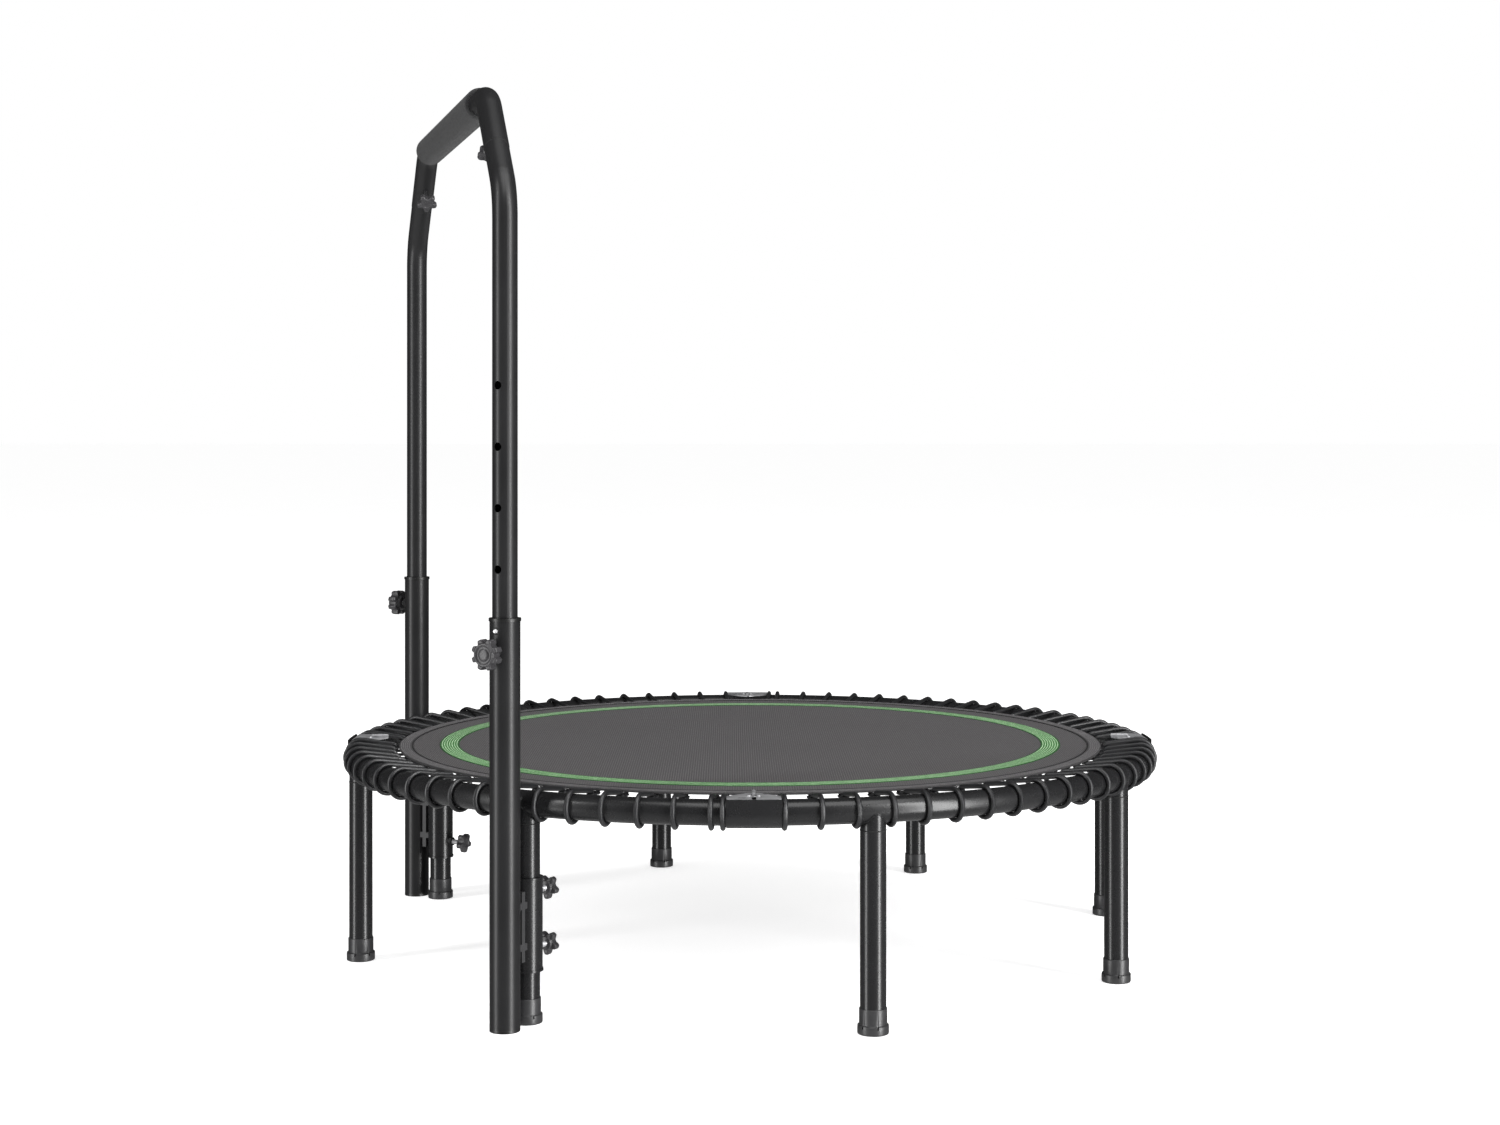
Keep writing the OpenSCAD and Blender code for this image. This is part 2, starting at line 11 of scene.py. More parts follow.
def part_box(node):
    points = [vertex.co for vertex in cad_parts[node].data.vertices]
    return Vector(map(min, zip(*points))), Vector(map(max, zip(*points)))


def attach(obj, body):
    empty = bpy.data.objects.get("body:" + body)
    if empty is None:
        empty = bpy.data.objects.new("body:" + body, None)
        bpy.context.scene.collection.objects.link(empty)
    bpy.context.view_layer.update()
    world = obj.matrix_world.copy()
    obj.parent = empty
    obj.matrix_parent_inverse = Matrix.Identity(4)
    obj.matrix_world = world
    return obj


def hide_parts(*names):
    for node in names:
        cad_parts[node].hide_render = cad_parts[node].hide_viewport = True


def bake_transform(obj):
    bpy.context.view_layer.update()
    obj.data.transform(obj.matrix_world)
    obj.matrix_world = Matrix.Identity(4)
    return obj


MM = 0.001
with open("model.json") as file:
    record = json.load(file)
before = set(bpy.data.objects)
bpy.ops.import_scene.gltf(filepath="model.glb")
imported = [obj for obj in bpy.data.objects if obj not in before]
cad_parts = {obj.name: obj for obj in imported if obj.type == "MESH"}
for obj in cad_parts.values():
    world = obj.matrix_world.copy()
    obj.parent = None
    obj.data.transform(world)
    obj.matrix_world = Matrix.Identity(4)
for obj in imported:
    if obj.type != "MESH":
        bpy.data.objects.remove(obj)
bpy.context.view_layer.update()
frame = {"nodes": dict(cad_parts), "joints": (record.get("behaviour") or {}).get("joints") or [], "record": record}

# ---------------- sizes, from the CAD model

ring_low, ring_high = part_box("ring_tube_front_right")
RING_OUT = -ring_low.y
TUBE_R = (ring_high.z - ring_low.z) / 2
RING_R = RING_OUT - TUBE_R
RING_Z = (ring_high.z + ring_low.z) / 2

bed_low, bed_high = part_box("mat_bed_right")
BED_R = bed_high.y
BED_TOP = bed_high.z
BED_BOTTOM = bed_low.z
hem_low, hem_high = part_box("mat_hem_right")
HEM_TOP = hem_high.z
HEM_BOTTOM = hem_low.z
HEM_WIDTH = 19.5 * MM
band_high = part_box("green_band_right")[1]
BAND_R = band_high.y
BAND_TOP = band_high.z
BAND_WIDTH = 28.9 * MM

CORD_R = 3.2 * MM
CORD_GAP = 0.1 * MM              # between a cord and what it goes round
BAR_R = 1.8 * MM                 # the wire bar inside a cord's inner end
RING_BAR_R = 545 * MM            # the bar's distance from the middle
RING_BAR_Z = 295.5 * MM
CORD_PITCH = 4.5                 # degrees between neighbouring cords
CORD_SHIFT = -0.75               # degrees from a multiple of the pitch to each cord
CORD_LAST = 86.2                 # degrees from a quarter's start to the cord at its end
CORDS_PER_QUARTER = 19           # not counting the last one

LEGS = {
    "left": ("leg_back_left", "leg_left_back", "leg_left_front", "leg_front_left"),
    "right": ("leg_front_right", "leg_right_front", "leg_right_back", "leg_back_right"),
}
FOLD_HALF = 20 * MM              # the bed bends over this far each side of the fold line
UP = np.array((0, 0, 1.0))


def outward(angle):
    """Unit vector away from the middle, at an angle in degrees from the front towards +X."""
    a = math.radians(angle)
    return np.array((math.sin(a), -math.cos(a), 0.0))


def along(angle):
    """Unit vector along the ring at an angle, towards larger angles."""
    a = math.radians(angle)
    return np.array((math.cos(a), math.sin(a), 0.0))


# ---------------- meshes

class Shape:
    """Points and faces of one piece. weave holds each point's own texture coordinates."""

    def __init__(self):
        self.points = []
        self.weave = []
        self.faces = []
        self.slots = []
        self.count = 0

    def add(self, points, weave=None):
        points = np.asarray(points, float).reshape(-1, 3)
        weave = points if weave is None else np.asarray(weave, float).reshape(-1, 3)
        self.points.append(points)
        self.weave.append(weave)
        first = self.count
        self.count += len(points)
        return first

    def quads(self, a, b, c, d, slot):
        made = np.stack([a, b, c, d], -1).reshape(-1, 4)
        self.faces.extend(made.tolist())
        self.slots.extend([slot] * len(made))

    def grid(self, points, weave=None, wrap=(False, False), slot=0):
        """Quads over rows x columns points. wrap joins the last row or column to the first."""
        points = np.asarray(points, float)
        rows, columns = points.shape[:2]
        index = self.add(points, weave) + np.arange(rows * columns).reshape(rows, columns)
        a = index if wrap[0] else index[:-1]
        b = np.roll(index, -1, 0) if wrap[0] else index[1:]
        c, d = np.roll(b, -1, 1), np.roll(a, -1, 1)
        if not wrap[1]:
            a, b, c, d = (x[:, :-1] for x in (a, b, c, d))
        self.quads(a, b, c, d, slot)
        return index

    def capped_grid(self, points, weave=None, slot=0):
        """A grid whose rows are rings, with one face over the first ring and one over the last."""
        index = self.grid(points, weave, wrap=(False, True), slot=slot)
        for ring in (index[0], index[-1]):
            self.faces.append(ring.tolist())
            self.slots.append(slot)

    def tips(self, block):
        """Quads over both ends of small four-sided bars: block is bars x stations x 4 point numbers."""
        for end in (block[:, 0], block[:, -1]):
            self.quads(end[:, 0], end[:, 1], end[:, 2], end[:, 3], 0)

    def piece(self, name, materials, sharp_deg=40):
        mesh = bpy.data.meshes.new(name)
        mesh.from_pydata(np.concatenate(self.points).tolist(), [], self.faces)
        mesh.polygons.foreach_set("material_index", self.slots)
        weave = mesh.attributes.new("weave", "FLOAT_VECTOR", "POINT")
        weave.data.foreach_set("vector", np.concatenate(self.weave).astype(np.float32).ravel())
        for material in materials:
            mesh.materials.append(material)
        mesh.validate()
        made = bpy.data.objects.new(name, mesh)
        bpy.context.scene.collection.objects.link(made)
        bpy.context.view_layer.objects.active = made
        made.select_set(True)
        bpy.ops.object.mode_set(mode="EDIT")
        bpy.ops.mesh.select_all(action="SELECT")
        bpy.ops.mesh.normals_make_consistent(inside=False)
        bpy.ops.object.mode_set(mode="OBJECT")
        made.select_set(False)
        mesh.shade_smooth()
        mesh.set_sharp_from_angle(angle=math.radians(sharp_deg))
        return made


THIN_SIDES = 8                    # points round the section of a wire, bead or shade ring
SMOOTH_SIDES = 48
ROUND_EDGE_POINTS = 6


def circle(count):
    """Angles of evenly spaced points round a circle."""
    return np.linspace(0, 2 * math.pi, count, endpoint=False)


def turned_block(radius, around, height):
    """Points at angles around the Z axis, from radii and a column of heights."""
    return np.stack([radius * np.cos(around), radius * np.sin(around), height + 0 * radius * around], -1)


def shade_ring(shape, radius, thickness, height, place):
    """A thin round ring about the Z axis of place, at a height along it."""
    section = circle(THIN_SIDES)[:, None]
    block = turned_block(radius + thickness * np.cos(section), circle(SMOOTH_SIDES),
                         height + thickness * np.sin(section))
    shape.grid(moved(block, place), wrap=(True, True))


def moved(points, place):
    m = np.array(place)
    return np.asarray(points) @ m[:3, :3].T + m[:3, 3]


def frame_at(origin, axis):
    """Matrix that puts +Z along axis at origin."""
    z = Vector(axis).normalized()
    x = Vector((0, 0, 1)) if abs(z.z) < 0.9 else Vector((1, 0, 0))
    x = (x - z * x.dot(z)).normalized()
    y = z.cross(x)
    m = Matrix.Identity(4)
    for i, column in enumerate((x, y, z, Vector(origin))):
        m.col[i][:3] = column
    return m


def tube(shape, path, binormal, radius, sides):
    """A round bar along a closed path. binormal is the normal of the path's plane, or one for each
    of its points. The weave is (length, turn, 0)."""
    tangent = np.roll(path, -1, 0) - np.roll(path, 1, 0)
    tangent /= np.linalg.norm(tangent, axis=1)[:, None]
    steps = np.linalg.norm(path - np.roll(path, 1, 0), axis=1)
    steps[0] = 0
    binormal = np.broadcast_to(np.asarray(binormal, float), path.shape)
    normal = np.cross(binormal, tangent)
    turn = circle(sides)
    radius = np.broadcast_to(np.asarray(radius, float), (len(path),))
    around = (np.cos(turn)[None, :, None] * normal[:, None]
              + np.sin(turn)[None, :, None] * binormal[:, None])
    length = np.cumsum(steps)[:, None] + 0 * turn
    weave = np.stack([length, 0 * length + turn, 0 * length], -1)
    shape.grid(path[:, None] + radius[:, None, None] * around, weave, wrap=(True, True))


def stands_for(piece, slot, *nodes):
    """The piece stands for CAD nodes, if any, which are hidden. The slot is not used."""
    if nodes:
        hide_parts(*nodes)


def carried(piece, body, slot, *nodes):
    """The same for a piece that rides on one body."""
    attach(piece, body)
    stands_for(piece, slot, *nodes)


# ---------------- materials

class Look:
    """A node material, built from small steps. Every step returns an output socket."""

    def __init__(self, name, colour, roughness, metallic=0.0, **fixed):
        self.material = bpy.data.materials.new(name)
        self.material.use_nodes = True
        self.tree = self.material.node_tree
        self.shader = self.tree.nodes["Principled BSDF"]
        self.material.diffuse_color = (*colour, 1)
        self.shader.inputs["Base Color"].default_value = (*colour, 1)
        self.shader.inputs["Roughness"].default_value = roughness
        self.shader.inputs["Metallic"].default_value = metallic
        for key, value in fixed.items():
            self.shader.inputs[key.replace("_", " ")].default_value = value

    def node(self, kind, inputs=None, **settings):
        made = self.tree.nodes.new(kind)
        for key, value in settings.items():
            setattr(made, key, value)
        for key, value in (inputs or {}).items():
            if isinstance(value, bpy.types.NodeSocket):
                self.tree.links.new(value, made.inputs[key])
            else:
                made.inputs[key].default_value = value
        return made

    def place(self):
        """Coordinates that stay with the piece as its body moves."""
        return self.node("ShaderNodeTexCoord").outputs["Object"]

    def weave(self):
        """The piece's own coordinates, which also stay put where it bends."""
        return self.node("ShaderNodeAttribute", attribute_name="weave").outputs["Vector"]

    def noise(self, where, scale, detail, roughness=0.5):
        """Cloudy noise. Its scale is in patches for each metre."""
        inputs = {"Vector": where, "Scale": scale, "Detail": detail, "Roughness": roughness}
        return self.node("ShaderNodeTexNoise", inputs).outputs["Fac"]

    def cells(self, where, scale):
        inputs = {"Vector": where, "Scale": scale}
        return self.node("ShaderNodeTexVoronoi", inputs, feature="F1").outputs["Distance"]

    def math(self, operation, *values):
        return self.node("ShaderNodeMath", dict(enumerate(values)), operation=operation).outputs[0]

    def split(self, where):
        return self.node("ShaderNodeSeparateXYZ", {0: where}).outputs

    def wave(self, position, pitch):
        """0 to 1 and back over every pitch."""
        phase = self.math("MULTIPLY", position, 2 * math.pi / pitch)
        return self.math("MULTIPLY_ADD", self.math("SINE", phase), 0.5, 0.5)

    def ramp(self, value, low, high, at):
        """A colour from low to high as value goes over the two places."""
        made = self.node("ShaderNodeValToRGB", {0: value})
        for stop, colour, position in zip(made.color_ramp.elements, (low, high), at):
            stop.color = (*colour, 1)
            stop.position = position
        return made.outputs["Color"]

    def span(self, value, low, high, at):
        """A number from low to high as value goes over the two places."""
        inputs = {"Value": value, "From Min": at[0], "From Max": at[1], "To Min": low, "To Max": high}
        return self.node("ShaderNodeMapRange", inputs).outputs["Result"]

    def mix(self, factor, a, b):
        made = self.node("ShaderNodeMix", data_type="RGBA")
        for socket, value in zip((made.inputs[0], made.inputs[6], made.inputs[7]), (factor, a, b)):
            if isinstance(value, bpy.types.NodeSocket):
                self.tree.links.new(value, socket)
            else:
                socket.default_value = value if isinstance(value, float) else (*value, 1)
        return made.outputs[2]

    def bump(self, height, distance, strength, under=None):
        inputs = {"Height": height, "Distance": distance, "Strength": strength}
        if under is not None:
            inputs["Normal"] = under
        return self.node("ShaderNodeBump", inputs).outputs["Normal"]

    def use(self, **sockets):
        for key, value in sockets.items():
            self.tree.links.new(value, self.shader.inputs[key.replace("_", " ")])
        return self.material


USUAL = (0.3, 0.7)                # where nearly all of a noise's values lie


def shades(colour, *factors):
    return [tuple(min(1.0, c * f) for c in colour) for f in factors]


def powder_coat(name, colour, roughness, gloss=0.25):
    """Satin powder coat: fine orange peel, slight cloudiness and a few duller rubbed patches."""
    look = Look(name, colour, roughness, Specular_IOR_Level=gloss)
    where = look.place()
    cloud = look.noise(where, 9.0, detail=4.0)
    peel = look.noise(where, 520.0, detail=2.0)
    rubbed = look.noise(where, 38.0, detail=6.0, roughness=0.65)
    tint = look.ramp(cloud, *shades(colour, 0.86, 1.16), USUAL)
    worn = look.mix(look.span(rubbed, 0.0, 0.2, (0.66, 0.8)), tint, shades(colour, 1.4)[0])
    rough = look.span(rubbed, roughness - 0.01, roughness + 0.015, USUAL)
    normal = look.bump(peel, distance=0.02 * MM, strength=0.5)
    return look.use(Base_Color=worn, Roughness=rough, Normal=normal)


def moulded(name, colour, roughness, grain=900.0):
    """Moulded plastic or rubber: a fine spark-eroded grain and slight flow marks."""
    look = Look(name, colour, roughness)
    where = look.place()
    flow = look.noise(where, 30.0, detail=3.0)
    skin = look.noise(where, grain, detail=2.0, roughness=0.7)
    tint = look.ramp(flow, *shades(colour, 0.82, 1.2), USUAL)
    rough = look.span(skin, roughness - 0.06, roughness + 0.06, USUAL)
    normal = look.bump(skin, distance=0.05 * MM, strength=0.7)
    return look.use(Base_Color=tint, Roughness=rough, Normal=normal)


def zinc_plate(name, colour):
    """Bright zinc: rolled streaks and a faint bloom."""
    look = Look(name, colour, 0.3, metallic=0.5)
    where = look.place()
    stretched = look.node("ShaderNodeMapping", {"Vector": where, "Scale": (160.0, 1400.0, 1400.0)})
    streaks = look.noise(stretched.outputs["Vector"], 1.0, detail=3.0)
    bloom = look.noise(where, 70.0, detail=4.0)
    tint = look.ramp(bloom, *shades(colour, 0.72, 1.15), USUAL)
    rough = look.span(bloom, 0.24, 0.42, USUAL)
    normal = look.bump(streaks, distance=0.03 * MM, strength=0.5)
    return look.use(Base_Color=tint, Roughness=rough, Normal=normal)


def mesh_fabric(name, colour, rib_pitch, thread_pitch):
    """Close woven mesh: pale ribs along the cloth and finer threads across, with tiny gaps between."""
    look = Look(name, colour, 0.62, Specular_IOR_Level=0.3, Sheen_Weight=0.05, Sheen_Roughness=0.5)
    where = look.weave()
    x, y, _ = look.split(where)
    ribs = look.wave(x, rib_pitch)
    threads = look.wave(y, thread_pitch)
    fibre = look.noise(where, 1500.0, detail=3.0, roughness=0.6)
    cloud = look.noise(where, 5.0, detail=3.0)
    base = look.ramp(ribs, *shades(colour, 0.15, 1.45), (0.1, 0.75))
    gaps = look.span(threads, 0.35, 0.0, (0.0, 0.55))
    crossed = look.mix(gaps, base, shades(colour, 0.3)[0])
    fuzzy = look.mix(look.span(fibre, 0.0, 0.35, (0.45, 0.75)), crossed, shades(colour, 1.5)[0])
    tint = look.mix(look.span(cloud, 0.0, 0.22, USUAL), fuzzy, shades(colour, 0.6)[0])
    rough = look.span(fibre, 0.52, 0.72, USUAL)
    relief = look.math("MULTIPLY", look.math("MAXIMUM", ribs, 0.3), threads)
    woven = look.bump(relief, distance=0.3 * MM, strength=0.8)
    normal = look.bump(fibre, distance=0.08 * MM, strength=0.5, under=woven)
    return look.use(Base_Color=tint, Roughness=rough, Normal=normal)


def webbing(name, colour, edge, width):
    """Woven webbing: weave is (length along, distance across, 0); its two edges are painted darker, as painted
    shade for the webbing's shaded sides.
    """
    look = Look(name, colour, 0.7, Specular_IOR_Level=0.3, Sheen_Weight=0.03, Sheen_Roughness=0.5)
    where = look.weave()
    x, y, _ = look.split(where)
    slant = look.wave(look.math("ADD", x, y), TWILL_PITCH)
    back = look.wave(look.math("SUBTRACT", x, y), TWILL_PITCH)
    cross = look.math("MAXIMUM", slant, back)
    fibre = look.noise(where, 1300.0, detail=3.0, roughness=0.6)
    cloud = look.noise(where, 14.0, detail=3.0)
    base = look.ramp(cross, *shades(colour, 0.55, 1.25), (0.3, 0.95))
    fuzzy = look.mix(look.span(fibre, 0.0, 0.3, (0.45, 0.75)), base, shades(colour, 1.6)[0])
    off_middle = look.math("ABSOLUTE", look.math("SUBTRACT", y, width / 2))
    edge_shade_ramp = tuple(width / 2 - inset for inset in PAINTED_EDGE_SHADE)
    # painted shade: the colour goes to the dark edge colour near both edges, standing for the shaded sides
    edge_shaded = look.mix(look.span(off_middle, 0.0, 0.9, edge_shade_ramp), fuzzy, edge)
    tint = look.mix(look.span(cloud, 0.0, 0.2, USUAL), edge_shaded, shades(edge, 0.8)[0])
    rough = look.span(fibre, 0.6, 0.82, USUAL)
    woven = look.bump(cross, distance=0.2 * MM, strength=0.7)
    normal = look.bump(fibre, distance=0.06 * MM, strength=0.5, under=woven)
    return look.use(Base_Color=tint, Roughness=rough, Normal=normal)


def thread(name, colour):
    """Sewing thread: uneven dye and a fine fibre."""
    look = Look(name, colour, 0.55, Specular_IOR_Level=0.3, Sheen_Weight=0.03)
    where = look.place()
    fibre = look.noise(where, 1600.0, detail=2.0)
    cloud = look.noise(where, 160.0, detail=2.0)
    tint = look.ramp(cloud, *shades(colour, 0.7, 1.2), USUAL)
    rough = look.span(fibre, 0.45, 0.65, USUAL)
    normal = look.bump(fibre, distance=0.05 * MM, strength=0.6)
    return look.use(Base_Color=tint, Roughness=rough, Normal=normal)


def braid(name, colour):
    """Braided sleeve: strands cross over each other in two directions round the cord."""
    look = Look(name, colour, 0.36, Specular_IOR_Level=0.5)
    x, turn, _ = look.split(look.weave())
    steps = look.math("MULTIPLY", look.math("MULTIPLY", x, 2 * math.pi / BRAID_PITCH), 2.0)
    plies = look.math("MULTIPLY", turn, BRAID_PLIES)
    one = look.math("SINE", look.math("ADD", steps, plies))
    two = look.math("SINE", look.math("SUBTRACT", steps, plies))
    strands = look.math("MULTIPLY_ADD", look.math("MULTIPLY", one, two), 0.5, 0.5)
    fibre = look.noise(look.place(), 1800.0, detail=2.0)
    tint = look.ramp(strands, *shades(colour, 0.45, 1.5), (0.1, 0.9))
    rough = look.span(fibre, 0.28, 0.44, USUAL)
    woven = look.bump(strands, distance=0.25 * MM, strength=0.7)
    normal = look.bump(fibre, distance=0.05 * MM, strength=0.4, under=woven)
    return look.use(Base_Color=tint, Roughness=rough, Normal=normal)


def foam(name, colour):
    """Closed-cell foam: fine pores with a dull skin."""
    look = Look(name, colour, 0.78, Specular_IOR_Level=0.3, Sheen_Weight=0.05, Sheen_Roughness=0.6)
    where = look.place()
    pores = look.cells(where, 750.0)
    lumps = look.noise(where, 120.0, detail=4.0)
    tint = look.ramp(pores, *shades(colour, 0.5, 1.35), (0.05, 0.6))
    shaded = look.mix(look.span(lumps, 0.0, 0.3, (0.4, 0.7)), tint, shades(colour, 1.5)[0])
    rough = look.span(lumps, 0.7, 0.88, USUAL)
    skin = look.bump(pores, distance=0.25 * MM, strength=0.8)
    normal = look.bump(lumps, distance=0.3 * MM, strength=0.3, under=skin)
    return look.use(Base_Color=shaded, Roughness=rough, Normal=normal)


RIB_PITCH = 3.3 * MM
THREAD_ACROSS_PITCH = 1.7 * MM
TWILL_PITCH = 1.4 * MM
PAINTED_EDGE_SHADE = (2.7 * MM, 2.3 * MM)  # painted shade: a webbing gets dark between these distances from its edge
BRAID_PITCH = 7.2 * MM
BRAID_PLIES = 4.0
frame_coat = powder_coat("frame_powder_coat", (0.009, 0.009, 0.0095), 0.27, gloss=0.4)
handle_coat = powder_coat("handle_powder_coat", (0.0095, 0.0095, 0.01), 0.35, gloss=0.3)
bracket_coat = powder_coat("clamp_plate_coat", (0.03, 0.03, 0.031), 0.4)
wire_coat = powder_coat("wire_coat", (0.01, 0.01, 0.011), 0.35)
rubber = moulded("foot_rubber", (0.022, 0.022, 0.023), 0.38, grain=700.0)
nylon = moulded("black_nylon", (0.004, 0.004, 0.004), 0.4)
knob_plastic = moulded("knob_plastic", (0.026, 0.025, 0.027), 0.4)
zinc = zinc_plate("zinc_plate", (0.36, 0.36, 0.37))
# painted highlight: a lighter copy of the zinc for the snap buttons, standing for their glint
painted_glint_zinc = zinc_plate("painted_glint_zinc", (0.6, 0.6, 0.61))
# painted shade: near-black dull rubber for the dark rings at the tube joints and round the snap buttons, standing
# for the shade in those gaps
painted_gap_shade = moulded("painted_seam_shade", (0.003, 0.003, 0.003), 0.75)
fabric = mesh_fabric("woven_mesh", (0.062, 0.058, 0.06), RIB_PITCH, THREAD_ACROSS_PITCH)
# each webbing's second colour is painted shade along its edges
hem_cloth = webbing("hem_webbing", (0.055, 0.053, 0.055), (0.035, 0.034, 0.035), width=HEM_WIDTH)
green_cloth = webbing("green_webbing", (0.034, 0.16, 0.03), (0.007, 0.075, 0.007), width=BAND_WIDTH)
tab_cloth = webbing("tab_webbing", (0.014, 0.014, 0.015), (0.01, 0.01, 0.011), width=9 * MM)
pale_thread = thread("pale_grey_thread", (0.145, 0.139, 0.142))
green_thread = thread("pale_green_thread", (0.36, 0.52, 0.33))
hem_edge_black = thread("hem_inner_edge_black", (0.004, 0.004, 0.004))
cord_braid = braid("cord_braid", (0.012, 0.012, 0.013))
grip_foam = foam("grip_foam", (0.013, 0.013, 0.0135))

SLOT_LOOKS = {
    "frame_steel": frame_coat,
    "handle_steel": handle_coat,
    "foot_rubber": rubber,
    "zinc": zinc,
    "mesh_fabric": fabric,
    "hem_webbing": hem_cloth,
    "green_webbing": green_cloth,
    "ring_steel": wire_coat,
    "elastic_cord": cord_braid,
    "black_plastic": nylon,
    "knob_plastic": knob_plastic,
    "grip_foam": grip_foam,
}
NODE_LOOKS = {
    "lower_pole_front": handle_coat,
    "lower_pole_back": handle_coat,
    "snap_button_front": painted_glint_zinc,
    "snap_button_back": painted_glint_zinc,
    "clamp_bracket_front": bracket_coat,
    "clamp_bracket_back": bracket_coat,
}
node_slots = {part["node"]: part["material_slot"] for part in frame["record"]["subparts"]}

# ---------------- bed

FABRIC_R = BED_R - 3 * MM         # the cloth ends inside the hem
FABRIC_END = FABRIC_R - 0.6 * MM  # its first and last rib are cut off a little before that
RIB_STEPS = 4                     # points for each rib
RIB_HEIGHT = 0.3 * MM
FABRIC_ROWS = 13
BEND_MARGIN = 4 * MM              # the close points go this far past the bend
BEND_STEP = 1.2 * MM
RING_STEP_DEG = 1.5
GROOVE_HALF = 0.8 * MM            # half the width of the dent that a row of stitches makes
GROOVE_DEPTH = 0.25 * MM


def bed_fabric():
    """The woven bed as one thin cloth with its ribs along Y."""
    shape = Shape()
    columns = int(2 * FABRIC_END / RIB_PITCH * RIB_STEPS)
    x = np.linspace(-FABRIC_END, FABRIC_END, columns)
    half = np.sqrt(FABRIC_R**2 - x**2)
    rib = 0.5 + 0.5 * np.sin(2 * math.pi * x / RIB_PITCH)
    y = half[:, None] * np.linspace(-1, 1, FABRIC_ROWS)
    flat = 0 * y
    valley = RIB_HEIGHT * (1 - rib)
    top = np.stack([x[:, None] + flat, y, (BED_TOP - valley)[:, None] + flat], -1)
    under = np.stack([x[:, None] + flat, y, (BED_BOTTOM + valley)[:, None] + flat], -1)
    block = np.concatenate([top, under[:, ::-1]], 1)
    shape.capped_grid(block, weave=block * (1, 1, 0))
    return shape.piece("mat_fabric", [fabric])


def ring_angles(radius):
    """Angles round the ring, closer together where the bed folds."""
    half = math.degrees(math.asin((FOLD_HALF + BEND_MARGIN) / radius))
    bend = np.linspace(-half, half, int(2 * math.radians(half) * radius / BEND_STEP))
    side = np.linspace(half, 180 - half, int((180 - 2 * half) / RING_STEP_DEG))[1:-1]
    return np.radians(np.concatenate([bend, side, bend + 180, side + 180]))


def flat_ring(shape, profile):
    """A closed section of (radius, height) rows swept round the bed."""
    r, z = profile[:, 0], profile[:, 1]
    outer, inner = r.max(), r.min()
    angles = ring_angles(outer)
    block = np.stack([
        np.outer(np.sin(angles), r),
        np.outer(-np.cos(angles), r),
        np.broadcast_to(z, (len(angles), len(z))),
    ], -1)
    across = np.broadcast_to(r - inner, block.shape[:2])
    length = np.broadcast_to((angles * outer)[:, None], across.shape)
    shape.grid(block, np.stack([length, across, 0 * across], -1), wrap=(True, True))


def quilted(inner, outer, low, high, grooves, edge):
    """A section from inner to outer radius, rounded at its edges and drawn in at each stitch row."""
    r = np.linspace(inner + edge, outer - edge, 4 * len(grooves) + 9)
    pull = np.zeros_like(r)
    for groove in grooves:
        pull = np.maximum(pull, np.exp(-(((r - groove) / GROOVE_HALF) ** 2)))
    top = np.stack([r, high - GROOVE_DEPTH * pull], -1)
    turn = np.linspace(math.pi / 2, -math.pi / 2, ROUND_EDGE_POINTS)[1:-1]
    middle, half = (high + low) / 2, (high - low) / 2
    outside = np.stack([outer - edge + edge * np.cos(turn), middle + half * np.sin(turn)], -1)
    inside = np.stack([inner + edge - edge * np.cos(turn), middle - half * np.sin(turn)], -1)
    bottom = [(outer - edge, low), (inner + edge, low)]
    return np.concatenate([top, outside, bottom, inside])


STITCH_STATIONS = np.array([      # place along, lift, breadth: shares of its length, height and width
    (-0.5, -0.35, 0.55), (-0.28, 0.75, 1.0), (0.28, 0.75, 1.0), (0.5, -0.35, 0.55),
])
STITCH_THICKNESS = 0.6            # each side of its middle, as a share of its height


def stitches(name, look, rows, surface, pitch, length, width, height, slant_deg=0):
    """Rows of single stitches round the bed. Each is a short four-sided bar that dips at both ends."""
    shape = Shape()
    slant = math.radians(slant_deg)
    reach, lift, breadth = STITCH_STATIONS.T * ((length,), (height,), (width / 2,))
    for k, radius in enumerate(rows):
        count = int(2 * math.pi * radius / pitch)
        angle = 2 * math.pi * (np.arange(count) + 0.5 * (k % 2)) / count
        tangent = np.stack([np.cos(angle), np.sin(angle), 0 * angle], -1)
        radial = np.stack([np.sin(angle), -np.cos(angle), 0 * angle], -1)
        run = math.cos(slant) * tangent + math.sin(slant) * radial
        cross = -math.sin(slant) * tangent + math.cos(slant) * radial
        centre = radius * radial + np.array((0, 0, surface))
        core = centre[:, None] + reach[None, :, None] * run[:, None] + lift[None, :, None] * UP
        up = height * STITCH_THICKNESS * UP
        side = breadth[None, :, None] * cross[:, None]
        bars = np.stack([core - side, core + up, core + side, core - up], 2)
        index = shape.add(bars) + np.arange(bars.size // 3).reshape(bars.shape[:3])
        a, b = index[:, :-1], index[:, 1:]
        shape.quads(a, b, np.roll(b, -1, 2), np.roll(a, -1, 2), 0)
        shape.tips(index)
    return shape.piece(name, [look], sharp_deg=80)


def over_fold(piece, slot, *nodes):
    """The piece lies on both halves of the bed, across the fold line. Its transform is baked into its points."""
    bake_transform(piece)
    stands_for(piece, slot, *nodes)
    return piece


HEM_INNER = BED_R - HEM_WIDTH
HEM_ROWS = [HEM_INNER + x * MM for x in (4.6, 7.6, 10.6, 13.6, 16.6)]
BAND_INNER = BAND_R - BAND_WIDTH
BAND_ROWS = [BAND_INNER + x * MM for x in (3.4, 7.1, 10.8, 14.45, 18.1, 21.8, 25.5)]
BAND_BOTTOM = BED_TOP - 0.4 * MM  # pressed into the cloth
